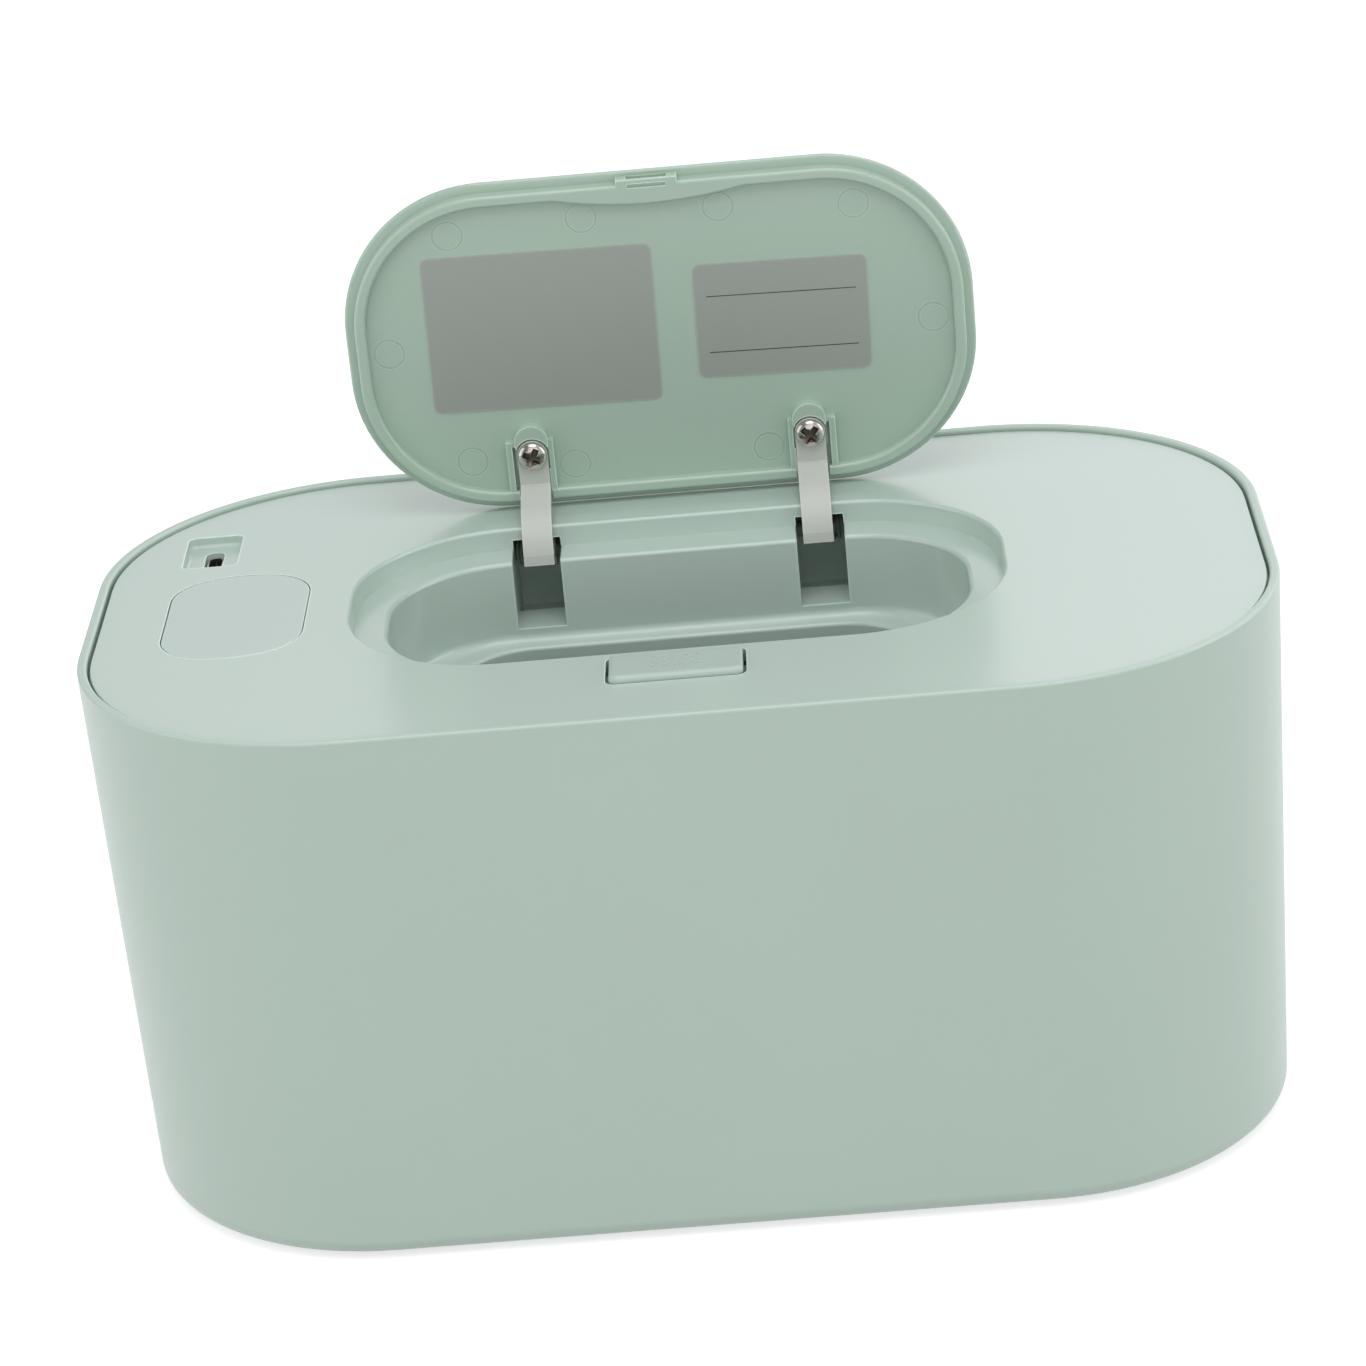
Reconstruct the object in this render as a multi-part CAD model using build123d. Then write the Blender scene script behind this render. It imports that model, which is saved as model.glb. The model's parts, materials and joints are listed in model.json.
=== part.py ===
from build123d import *
import math
import os

# Baby wipe warmer.  Millimetres, +Z up, the table at z = 0, the front towards -Y.
# The lid is drawn closed and then swung open about its hinge pins.

# ---- casing ----
body_length = 220.0
body_width = 135.0
body_height = 104.3
body_corner = 50.0
body_draft = 2.8            # how far the base is set in from the rim, each side
casing_wall = 2.6
casing_floor = 3.0
base_edge_radius = 3.4
chamber_edge_radius = 3.0
rim_thickness = 1.8
rim_stand = 0.8             # rim above the top panel
rim_edge_radius = 0.5
ledge_width = 3.4           # inward step that carries the cover
ledge_depth = 6.0

# ---- feet ----
foot_radius = 6.0
foot_height = 1.6
foot_stand = 0.8
foot_edge = 0.3
foot_fit = 0.1
foot_from_end = 34.0
foot_from_side = 31.5

# ---- cover: top panel ----
cover_gap = 0.5             # dark groove between rim and panel
panel_thickness = 2.4
panel_edge_radius = 0.3
tray_gap = 0.4              # under tray inside the casing's ledge
well_length = 121.6
well_width = 68.0
well_corner = 29.0
well_y = -1.0
well_wall = 2.0
well_edge_radius = 0.6
upper_draft = 0.3
shelf_depth = 4.1
shelf_width = 6.6
shelf_edge_radius = 0.8
deep_draft = 0.8
well_depth = 20.3
well_floor_radius = 1.9
shelf_extra = 1.2           # more shelf along the two long sides
throat_from_end = 17.3      # throat inside the well, each end and each side
throat_from_side = 11.5
throat_corner = 15.0
throat_lip_radius = 0.8
window_width = 26.2         # touch window, between its straight ends
window_round = 41.2         # diameter of its curved sides
window_from_end = 27.65
window_y = -1.2
window_corner = 10.5
window_thickness = 1.0
window_gap = 0.2

# ---- cover: power inlet ----
inlet_from_end = 20.2
inlet_from_back = 33.7
inlet_pocket_x = 10.6
inlet_pocket_y = 16.4
inlet_pocket_depth = 2.0
inlet_pocket_corner = 1.5
inlet_floor = 2.4
inlet_wall = 1.6
socket_x = 3.2
socket_y = 8.94
socket_wall = 0.35
socket_fit = 0.2
socket_sink = 1.0           # socket mouth below the pocket floor
socket_base = 2.2
tongue_x = 0.7
tongue_y = 6.6
tongue_height = 6.0

# ---- cover: under tray and heater ----
tray_wall = 2.0
tray_floor = 2.0
tray_edge_radius = 2.0
cover_depth = 29.2          # panel top to tray underside
throat_gap = 0.3
heater_from_end = 20.0
heater_from_side = 21.5
heater_corner = 32.0
heater_hole_gap = 1.0
plate_thickness = 1.0
foil_thickness = 0.4
pad_thickness = 2.2
post_radius = 3.2
post_from_end = 36.0
post_from_side = 19.5
rear_post_from_back = 15.0
tray_screw_radius = 1.2
tray_screw_length = 9.0
tray_head_radius = 2.6
tray_head_height = 1.0
screw_fit = 0.05

# ---- cover: electronics ----
board_depth = 13.0          # board top below panel top
board_thickness = 1.6
board_from_end = 14.0
board_width = 30.0
board_front_reach = 28.8    # board in front of the window's middle
board_back_reach = 6.2      # board behind the inlet's middle
board_corner = 6.0
board_post_inset = 4.0
board_post_behind = 14.0
chip_side = 8.0
chip_height = 1.2
driver_side = 5.0
driver_height = 1.5
coil_radius = 3.0
coil_height = 3.0
capacitor_radius = 2.5
capacitor_height = 4.5
board_post_radius = 2.4
board_screw_radius = 0.9
board_screw_length = 5.0
board_head_radius = 1.8
board_head_height = 1.0
display_x = 18.0
display_y = 12.0
display_offset = 9.0        # display behind the window's middle
electrode_radius = 5.0
electrode_offset = 10.0     # touch foam in front of the window's middle
wire_radius = 0.8
wire_bend = 3.0
wire_rise = 3.5             # wires above the insulation
wire_pitch = 3.0
sensor_from_end = 30.0      # from the heater's end and side
sensor_from_side = 5.0
sensor_radius = 1.8
sensor_height = 1.6
cutout_from_side = 10.0
cutout_size_x = 9.0
cutout_size_y = 4.5
cutout_height = 2.2
pad_window_gap = 0.8
lead_from_end = 28.0
lead_from_side = 12.0
lead_board_inset = 6.0      # from the board's right edge
lead_board_reach = 12.0     # from the board's front edge
sensor_board_inset = 10.0
sensor_board_reach = 6.0

# ---- hinge ----
hinge_x = 27.3
hinge_back = 6.46           # pins behind the well's rear edge
hinge_drop = 7.3            # pins below the panel top
pin_radius = 1.5
pin_fit = 0.05
wall_fit = 0.02
pin_stand = 0.6
slot_width = 9.2
slot_wall = 1.8
slot_edge_radius = 0.3
sill_depth = 17.5
hub_radius = 3.2
hub_clearance = 1.4
arm_width = 5.8
arm_inset = 0.4             # arms sit this much towards the middle of their slots
arm_thickness = 1.5
arm_bend_radius = 10.55     # gooseneck, middle of the strip
arm_limb_angle = 14.0       # limb from straight down, lid closed
arm_bend_angle = 75.0
arm_clearance = 1.6
sill_clearance = 0.36
limb_thickness = 2.0
pad_depth = 3.5             # middle of the pad below the panel top, lid closed
pad_corner = 2.88           # almost half the arm's width
pad_lean = 2.0
spring_radius = 2.3
spring_wire = 0.3
spring_pitch = 0.75
spring_turns = 1.8

# ---- lid ----
lid_gap = 0.6
lid_band = 1.2              # thickness at the outer edge
lid_plate = 2.0
lid_top_radius = 0.6
lid_low_radius = 0.5
lip_inset = 1.9
lip_width = 2.2
lip_depth = 3.8
lip_edge_radius = 0.6
open_angle = 86.5
screw_reach = 18.75         # pins to screw, lid closed
boss_radius = 3.3
boss_length = 2.6
boss_depth = 4.1
guide_gap = 0.35
guide_offset = 3.4          # guides from the middle of the hinge slot
guide_thickness = 1.2
guide_depth = 3.6
guide_beyond = 2.6          # guides beyond the screw
web_thickness = 0.9
crescent_half = 18.2
crescent_bulge = 2.0
catch_half = 5.8
catch_inset = 0.9           # catch behind the lid's front edge
notch_half = 3.8
notch_reach = 2.0
notch_top = 1.6
notch_bottom = 3.2
slit_half = 3.6
slit_place = 1.8            # from the lid's front edge
slit_width = 0.7
slit_depth = 0.4
mark_radius = 3.0
mark_groove = 0.3
mark_depth = 0.12
mark_places = [             # across, and out from the pins
    (-38.6, 64.2), (-13.0, 65.6), (13.0, 65.6), (38.6, 64.0),
    (-52.2, 41.2), (52.2, 39.6), (-38.6, 17.5), (-18.8, 15.3), (18.8, 15.5),
]
label_thickness = 0.15
label_corner = 1.6
large_label = (44.0, 31.9)
large_label_place = (-22.6, 43.7)
large_label_turn = 0.8
small_label = (33.2, 23.2)
small_label_place = (23.5, 42.3)
small_label_turn = 1.1
arm_screw_radius = 1.2
arm_screw_grip = 3.3
arm_head_radius = 2.8
arm_head_height = 1.8
recess_length = 3.2
recess_width = 0.8
recess_depth = 1.0

# ---- release button ----
button_length = 24.0
button_width = 12.2
button_from_well = 14.6     # button front to the well's front edge
button_stand = 1.2
button_gap = 0.6            # at its two ends
button_side_gap = 0.3
button_top = 1.3
button_skirt = 3.4
button_wall = 1.2
button_corner = 1.6
button_edge_radius = 1.1
button_rear_radius = 2.4
button_travel = 1.5
flange_out = 1.3
flange_thickness = 0.8
flange_half = 4.0
dot_radius = 0.28
dot_height = 0.12
dot_pitch_x = 1.0
dot_pitch_y = 1.1
blade_x = 8.0
blade_thickness = 1.6
blade_width = 2.0
blade_knee = 5.8
blade_end = 10.3
blade_reach = 3.6           # button front to the blade above its knee
cage_depth = 13.4
cage_floor = 1.4
cage_wall = 1.6
cage_half = 13.7
cage_front_gap = 1.0
cage_back_gap = 2.6
cage_lug = 7.0
cage_lug_width = 6.0
cage_lug_thickness = 1.6
cage_boss_length = 4.0
cage_boss_radius = 2.4
cage_boss_out = 5.0
cage_screw_radius = 0.9
cage_screw_length = 4.6
slider_top = 7.8
slider_thickness = 1.6
slider_half = 13.2
slider_front_gap = 1.0
slider_back_gap = 3.8
slider_fit = 0.1
upright_thickness = 1.5
upright_half = 4.0
nose_half = 3.2
nose_top = 1.85
nose_thickness = 1.1
nose_reach = 2.1            # nose beyond the well's front edge
window_clear = 0.3
skirt_notch_half = 5.0
return_spring_reach = 5.6
return_spring_radius = 2.3
return_spring_wire = 0.35
return_spring_turns = 5.0
spring_peg_radius = 1.5
spring_peg_height = 2.0
spring_room = 0.4

# ---- heights and places that follow ----
panel_top = body_height - rim_stand
panel_low = panel_top - panel_thickness
panel_inset = rim_thickness + cover_gap
ledge_inset = rim_thickness + ledge_width
tray_inset = ledge_inset + tray_gap
shelf_z = panel_top - shelf_depth
well_floor_z = panel_top - well_depth
tray_low = panel_top - cover_depth
tray_top = tray_low + tray_floor
foil_z = tray_top + plate_thickness
pad_z = foil_z + foil_thickness
deep_length = well_length - 2 * shelf_width
deep_width = well_width - 2 * (shelf_width + shelf_extra)
deep_corner = well_corner - shelf_width
throat_length = well_length - 2 * throat_from_end
throat_width = well_width - 2 * throat_from_side
well_front = well_y - well_width / 2
well_back = well_y + well_width / 2
hinge_y = well_back + hinge_back
hinge_z = panel_top - hinge_drop
arm_outer = arm_bend_radius + arm_thickness / 2
pocket_back = hinge_y + hub_radius + hub_clearance
pocket_low = hinge_z - arm_outer - arm_clearance
arm_rise = hinge_drop - pad_depth
window_x = window_from_end - body_length / 2
inlet_x = inlet_from_end - body_length / 2
inlet_y = body_width / 2 - inlet_from_back
heater_length = body_length - 2 * heater_from_end
heater_width = body_width - 2 * heater_from_side
foot_x = body_length / 2 - foot_from_end
foot_y = body_width / 2 - foot_from_side
post_x = body_length / 2 - post_from_end
post_y = body_width / 2 - post_from_side
rear_post_y = body_width / 2 - rear_post_from_back
board_left = board_from_end - body_length / 2
board_right = board_left + board_width
board_front = window_y - board_front_reach
board_back = inlet_y + board_back_reach
board_top = panel_top - board_depth
board_low = board_top - board_thickness
wire_height = pad_z + pad_thickness + wire_rise
sensor_x = heater_length / 2 - sensor_from_end
sensor_y = sensor_from_side - heater_width / 2
cutout_x = sensor_x
cutout_y = heater_width / 2 - cutout_from_side
lead_x = lead_from_end - heater_length / 2
lead_y = lead_from_side - heater_width / 2
lead_rise_x = board_right - lead_board_inset
lead_rise_y = board_front + lead_board_reach
sensor_lead_x = board_right - sensor_board_inset
sensor_lead_y = board_front + sensor_board_reach
button_front = well_front - button_from_well
button_back = button_front + button_width
blade_y = button_front + blade_reach
return_spring_y = button_front + return_spring_reach
cage_front = button_front - cage_front_gap
cage_back = well_front - cage_back_gap
slider_front = button_front + slider_front_gap
slider_back = well_front - slider_back_gap
nose_tip = well_front + nose_reach
button_y = (button_front + button_back) / 2
hinge_axis = Axis((0, hinge_y, hinge_z), (1, 0, 0))
tray_posts = [(sx * post_x, sy * post_y) for sx in (-1, 1) for sy in (-1, 1)] + [(0, rear_post_y)]
board_posts = [
    (board_left + board_post_inset, board_front + board_post_inset),
    (board_right - board_post_inset, board_front + board_post_inset),
    (board_right - board_post_inset, board_back - board_post_inset),
    (board_left + board_post_inset, inlet_y - board_post_behind),
]


def block(x0, x1, y0, y1, z0, z1):
    """A box between two corners."""
    return Pos((x0 + x1) / 2, (y0 + y1) / 2, (z0 + z1) / 2) * Box(x1 - x0, y1 - y0, z1 - z0)


def disc(x, y, z0, z1, radius):
    """An upright cylinder from z0 to z1."""
    return Pos(x, y, (z0 + z1) / 2) * Cylinder(radius, z1 - z0)


def rounded_prism(length, width, corner, z0, z1, y=0.0):
    return extrude(Pos(0, y, z0) * RectangleRounded(length, width, corner), amount=z1 - z0)


def drafted_prism(length, width, corner, z_top, z_low, draft, y=0.0):
    """A rounded prism whose foot is set in by the draft."""
    top = Pos(0, y, z_top) * RectangleRounded(length, width, corner)
    foot = Pos(0, y, z_low) * RectangleRounded(length - 2 * draft, width - 2 * draft, corner - draft)
    return loft([foot.face(), top.face()], ruled=True)


def body_face(inset, z):
    """The casing's outline at a height, set in by a margin."""
    margin = inset + body_draft * (body_height - z) / (body_height - foot_stand)
    return Pos(0, 0, z) * RectangleRounded(
        body_length - 2 * margin, body_width - 2 * margin, body_corner - margin
    )


def body_block(inset, z0, z1):
    """A drafted block under the casing's outline."""
    return loft([body_face(inset, z0).face(), body_face(inset, z1).face()], ruled=True)


def body_prism(inset, z0, z1):
    """An upright prism on the casing's top outline, set in by a margin."""
    face = Pos(0, 0, z0) * RectangleRounded(
        body_length - 2 * inset, body_width - 2 * inset, body_corner - inset
    )
    return extrude(face, amount=z1 - z0)


def level_edges(shape, z, length, width, y=0.0):
    """The edges that lie at one height inside a rectangle."""
    return [
        e
        for e in shape.edges()
        if abs(e.bounding_box().min.Z - z) < 0.01
        and abs(e.bounding_box().max.Z - z) < 0.01
        and max(abs(e.bounding_box().min.X), abs(e.bounding_box().max.X)) < length / 2 + 0.1
        and max(abs(e.bounding_box().min.Y - y), abs(e.bounding_box().max.Y - y)) < width / 2 + 0.1
    ]


def side_extrude(sketch, x0, x1):
    """Extrude a face drawn in the YZ plane from x0 to x1."""
    return Pos(x0, 0, 0) * extrude(Plane.YZ * sketch, amount=x1 - x0)


def pan_screw(x, y, seat_z, shank_radius, shank_length, head_radius, head_height):
    """A cross-head screw driven upwards, with its head below the seat."""
    head = Pos(0, 0, -head_height / 2) * Cylinder(head_radius, head_height)
    head = fillet(head.edges().group_by(Axis.Z)[0], head_height * 0.45)
    shank = Pos(0, 0, shank_length / 2) * Cylinder(shank_radius, shank_length)
    cross_z = -head_height + recess_depth / 2
    cross = Pos(0, 0, cross_z) * Box(head_radius * 1.15, recess_width, recess_depth)
    cross += Pos(0, 0, cross_z) * Box(recess_width, head_radius * 1.15, recess_depth)
    screw = head + shank - cross
    return Pos(x, y, seat_z) * screw


def barrel_face(grow):
    """The touch window's outline: a circle cut by two straight ends."""
    face = Circle(window_round / 2 + grow) & Rectangle(
        window_width + 2 * grow, window_round + 2 * grow
    )
    return fillet(face.vertices(), window_corner + grow)


# ------------------------------------------------------------------ casing
def make_casing():
    casing = body_block(0, foot_stand, body_height)
    casing = fillet(casing.edges().group_by(Axis.Z)[0], base_edge_radius)
    ledge_low = panel_low - ledge_depth
    chamber = body_block(casing_wall, foot_stand + casing_floor, ledge_low)
    chamber = fillet(chamber.edges().group_by(Axis.Z)[0], chamber_edge_radius)
    casing -= chamber
    casing -= body_prism(ledge_inset, ledge_low, panel_low)
    casing -= body_block(rim_thickness, panel_low, body_height)
    casing = fillet(casing.edges().group_by(Axis.Z)[-1], rim_edge_radius)
    for sx in (-1, 1):
        for sy in (-1, 1):
            casing -= disc(sx * foot_x, sy * foot_y, foot_stand, foot_height, foot_radius + foot_fit)
    return casing


def make_feet():
    feet = []
    for sx in (-1, 1):
        for sy in (-1, 1):
            foot = disc(sx * foot_x, sy * foot_y, 0, foot_height, foot_radius)
            feet.append(chamfer(foot.edges().group_by(Axis.Z)[0], foot_edge))
    return Compound(feet)


# ------------------------------------------------------------------ top panel
def hinge_box(side):
    centre = side * hinge_x
    half = slot_width / 2 + slot_wall
    box = block(
        centre - half, centre + half, well_y + deep_width / 2, pocket_back + slot_wall,
        pocket_low - slot_wall, panel_low,
    )
    return box


def hinge_pocket(side):
    centre = side * hinge_x
    half = slot_width / 2
    sill_z = panel_top - sill_depth
    reach = arm_outer + sill_clearance
    drop = hinge_z - sill_z
    sill_back = hinge_y - math.sqrt(reach**2 - drop**2)
    void = block(centre - half, centre + half, well_y, sill_back, sill_z, panel_low)
    void += block(centre - half, centre + half, sill_back, pocket_back, pocket_low, panel_low)
    bore = Pos(centre, hinge_y, hinge_z) * Rot(0, 90, 0) * Cylinder(
        pin_radius + wall_fit, slot_width + 2 * slot_wall + 1.0
    )
    return void + bore


def slot_edges(panel):
    """The upright edges where the two hinge slots break through the well's wall."""
    wall_y = well_y + deep_width / 2
    edges = []
    for edge in panel.edges():
        box = edge.bounding_box()
        at_side = abs(abs(abs(edge.center().X) - hinge_x) - slot_width / 2) < 0.05
        on_wall = wall_y - deep_draft - 0.1 < box.min.Y and box.max.Y < wall_y + 0.1
        below_shelf = box.max.Z < shelf_z - shelf_edge_radius + 0.1
        if at_side and on_wall and below_shelf and edge.length > sill_depth / 4:
            edges.append(edge)
    return edges


def inlet_boss(grow):
    wall = inlet_wall + grow
    z0 = panel_top - inlet_pocket_depth - inlet_floor - grow
    face = Pos(inlet_x, inlet_y, z0) * RectangleRounded(
        inlet_pocket_x + 2 * wall, inlet_pocket_y + 2 * wall, inlet_pocket_corner + wall
    )
    return extrude(face, amount=panel_low - z0)


def make_top_panel():
    panel = body_prism(panel_inset, panel_low, panel_top)
    panel = fillet(panel.edges().group_by(Axis.Z)[-1], panel_edge_radius)
    # walls of the dispensing well and its throat
    panel += rounded_prism(
        well_length + 2 * well_wall, well_width + 2 * well_wall, well_corner + well_wall,
        shelf_z - well_wall, panel_low, well_y,
    )
    panel += rounded_prism(
        deep_length + 2 * well_wall, deep_width + 2 * well_wall, deep_corner + well_wall,
        well_floor_z - well_wall, shelf_z - well_wall, well_y,
    )
    panel += rounded_prism(
        throat_length + 2 * well_wall, throat_width + 2 * well_wall, throat_corner + well_wall,
        tray_low, well_floor_z - well_wall, well_y,
    )
    for side in (-1, 1):
        panel += hinge_box(side)
    panel -= drafted_prism(
        well_length, well_width, well_corner, panel_top, shelf_z, upper_draft, well_y
    )
    deep = drafted_prism(
        deep_length, deep_width, deep_corner, shelf_z, well_floor_z, deep_draft, well_y
    )
    panel -= fillet(deep.edges().group_by(Axis.Z)[0], well_floor_radius)
    panel -= rounded_prism(throat_length, throat_width, throat_corner, tray_low, well_floor_z, well_y)
    panel = fillet(level_edges(panel, panel_top, well_length, well_width, well_y), well_edge_radius)
    panel = fillet(level_edges(panel, shelf_z, deep_length, deep_width, well_y), shelf_edge_radius)
    panel = fillet(
        level_edges(panel, well_floor_z, throat_length, throat_width, well_y), throat_lip_radius
    )
    for side in (-1, 1):
        panel -= hinge_pocket(side)
    panel = fillet(slot_edges(panel), slot_edge_radius)
    # button opening and the window for the latch nose
    hole_half = button_length / 2 + button_gap
    hole = block(
        -hole_half, hole_half, button_front - button_side_gap, button_back + button_side_gap,
        shelf_z - well_wall, panel_top,
    )
    panel -= fillet(hole.edges().filter_by(Axis.Z), button_corner + button_side_gap)
    panel -= block(
        -nose_half - window_clear - 0.2, nose_half + window_clear + 0.2,
        button_back, well_front + well_edge_radius,
        panel_top - nose_top - nose_thickness - window_clear, panel_top - nose_top + window_clear,
    )
    for sx in (-1, 1):
        x = sx * (cage_half + cage_wall + cage_boss_out)
        panel += disc(x, button_y, panel_low - cage_boss_length, panel_low, cage_boss_radius)
        panel -= disc(x, button_y, panel_low - cage_boss_length, panel_low, cage_screw_radius + screw_fit)
    # power inlet
    panel += inlet_boss(0)
    pocket = Pos(inlet_x, inlet_y, panel_top) * RectangleRounded(
        inlet_pocket_x, inlet_pocket_y, inlet_pocket_corner
    )
    pocket = extrude(pocket, amount=-inlet_pocket_depth)
    panel -= fillet(pocket.edges().group_by(Axis.Z)[0], inlet_pocket_corner * 0.5)
    port = Pos(inlet_x, inlet_y, panel_top) * RectangleRounded(
        socket_x + 2 * socket_fit, socket_y + 2 * socket_fit, socket_x / 2
    )
    panel -= extrude(port, amount=-inlet_pocket_depth - inlet_floor)
    # seat of the touch window
    seat = Pos(window_x, window_y, panel_top) * barrel_face(window_gap)
    panel -= extrude(seat, amount=-window_thickness)
    # posts for the tray and the circuit board
    for x, y in tray_posts:
        panel += disc(x, y, tray_top, panel_low, post_radius)
        panel -= disc(x, y, tray_top, tray_top + tray_screw_length, tray_screw_radius + screw_fit)
    for x, y in board_posts:
        panel += disc(x, y, board_top, panel_low, board_post_radius)
        panel -= disc(x, y, board_top, board_top + board_screw_length, board_screw_radius + screw_fit)
    return panel


def make_touch_window():
    face = Pos(window_x, window_y, panel_top - window_thickness) * barrel_face(0)
    window = extrude(face, amount=window_thickness)
    return fillet(window.edges().group_by(Axis.Z)[-1], window_gap)


# ------------------------------------------------------------------ under tray and heater
def throat_hole(grow, z0, z1):
    gap = well_wall + grow
    return rounded_prism(
        throat_length + 2 * gap, throat_width + 2 * gap, throat_corner + gap, z0, z1, well_y
    )


def make_under_tray():
    tray = body_prism(tray_inset, tray_low, panel_low)
    tray = fillet(tray.edges().group_by(Axis.Z)[0], tray_edge_radius)
    tray -= body_prism(tray_inset + tray_wall, tray_top, panel_low)
    tray -= throat_hole(throat_gap, tray_low, tray_top)
    tray -= inlet_boss(tray_gap)
    for x, y in tray_posts:
        tray -= disc(x, y, tray_low, tray_top, tray_screw_radius + 2 * screw_fit)
        tray -= disc(x, y, tray_low, tray_low + tray_head_height, tray_head_radius + 2 * screw_fit)
    return tray


def heater_layer(z0, z1):
    layer = rounded_prism(heater_length, heater_width, heater_corner, z0, z1)
    return layer - throat_hole(heater_hole_gap, z0, z1)


def make_heater_plate():
    return heater_layer(tray_top, foil_z)


def make_heater_foil():
    return heater_layer(foil_z, pad_z)


def make_insulation_pad():
    pad = heater_layer(pad_z, pad_z + pad_thickness)
    top = pad_z + pad_thickness
    pad -= disc(sensor_x, sensor_y, pad_z, top, sensor_radius + pad_window_gap)
    half_x = cutout_size_x / 2 + pad_window_gap
    half_y = cutout_size_y / 2 + pad_window_gap
    pad -= block(cutout_x - half_x, cutout_x + half_x, cutout_y - half_y, cutout_y + half_y, pad_z, top)
    for side in (0, 1):
        pad -= disc(lead_x + side * wire_pitch, lead_y, pad_z, top, wire_radius + pad_window_gap / 2)
    return pad


def make_temperature_sensor():
    bead = disc(sensor_x, sensor_y, pad_z, pad_z + sensor_height, sensor_radius)
    return fillet(bead.edges().group_by(Axis.Z)[-1], sensor_height * 0.4)


def make_thermal_cutout():
    half_x = cutout_size_x / 2
    half_y = cutout_size_y / 2
    case = block(
        cutout_x - half_x, cutout_x + half_x, cutout_y - half_y, cutout_y + half_y,
        pad_z, pad_z + cutout_height,
    )
    return fillet(case.edges().filter_by(Axis.Z), cutout_size_y * 0.2)


def wire(points):
    path = FilletPolyline(*points, radius=wire_bend)
    start = Plane(origin=path @ 0, z_dir=path % 0)
    return sweep(start * Circle(wire_radius), path=path)


def make_heater_leads():
    leads = []
    for side in (0, 1):
        x = lead_x + side * wire_pitch
        rise_x = lead_rise_x + side * wire_pitch
        rise_y = lead_rise_y
        points = [(x, lead_y, pad_z), (x, lead_y, wire_height)]
        points += [(rise_x, rise_y, wire_height), (rise_x, rise_y, board_low)]
        leads.append(wire(points))
    return Compound(leads)


def make_sensor_leads():
    top = pad_z + sensor_height
    points = [(sensor_x, sensor_y, top), (sensor_x, sensor_y, wire_height)]
    points += [(sensor_lead_x, sensor_y, wire_height), (sensor_lead_x, sensor_lead_y, wire_height)]
    points += [(sensor_lead_x, sensor_lead_y, board_low)]
    return wire(points)


# ------------------------------------------------------------------ electronics
def make_circuit_board():
    board = block(board_left, board_right, board_front, board_back, board_low, board_top)
    left = board.edges().filter_by(Axis.Z).group_by(Axis.X)[0]
    board = chamfer(left, board_corner)
    for x, y in board_posts:
        board -= disc(x, y, board_low, board_top, board_screw_radius + 2 * screw_fit)
    # controller chip, driver, coil and capacitor on the board's underside
    x = (board_left + board_right) / 2
    y = (board_front + board_back) / 2
    board += block(
        x - chip_side / 2, x + chip_side / 2, y - chip_side / 2, y + chip_side / 2,
        board_low - chip_height, board_low,
    )
    board += block(
        x - chip_side - driver_side, x - chip_side, y - 2 * driver_side, y - driver_side,
        board_low - driver_height, board_low,
    )
    board += disc(
        x + 2 * coil_radius, y + 4 * coil_radius, board_low - coil_height, board_low, coil_radius
    )
    board += disc(
        x + 2 * coil_radius, y - 4 * coil_radius, board_low - capacitor_height, board_low,
        capacitor_radius,
    )
    return board


def make_display_module():
    x, y = window_x, window_y + display_offset
    module = block(
        x - display_x / 2, x + display_x / 2, y - display_y / 2, y + display_y / 2,
        board_top, panel_low,
    )
    return fillet(module.edges().filter_by(Axis.Z), 1.0)


def make_touch_electrode():
    y = window_y - electrode_offset
    return disc(window_x, y, board_top, panel_low, electrode_radius)


def make_inlet_socket():
    mouth = panel_top - inlet_pocket_depth - socket_sink
    outer = Pos(inlet_x, inlet_y, board_top) * RectangleRounded(
        socket_x, socket_y, socket_x / 2 - 0.01
    )
    inner = Pos(inlet_x, inlet_y, board_top + socket_base) * RectangleRounded(
        socket_x - 2 * socket_wall, socket_y - 2 * socket_wall, socket_x / 2 - socket_wall - 0.01
    )
    shell = extrude(outer, amount=mouth - board_top)
    return shell - extrude(inner, amount=mouth - board_top - socket_base)


def make_inlet_tongue():
    z0 = board_top + socket_base
    tongue = block(
        inlet_x - tongue_x / 2, inlet_x + tongue_x / 2,
        inlet_y - tongue_y / 2, inlet_y + tongue_y / 2, z0, z0 + tongue_height,
    )
    return fillet(tongue.edges().group_by(Axis.Z)[-1], tongue_x * 0.3)


# ------------------------------------------------------------------ hinge
def make_hinge_pin(side):
    length = slot_width + 2 * slot_wall + 2 * pin_stand
    pin = Pos(side * hinge_x, hinge_y, hinge_z) * Rot(0, 90, 0) * Cylinder(pin_radius, length)
    return chamfer(pin.edges().filter_by(GeomType.CIRCLE), pin_radius * 0.2)


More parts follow.
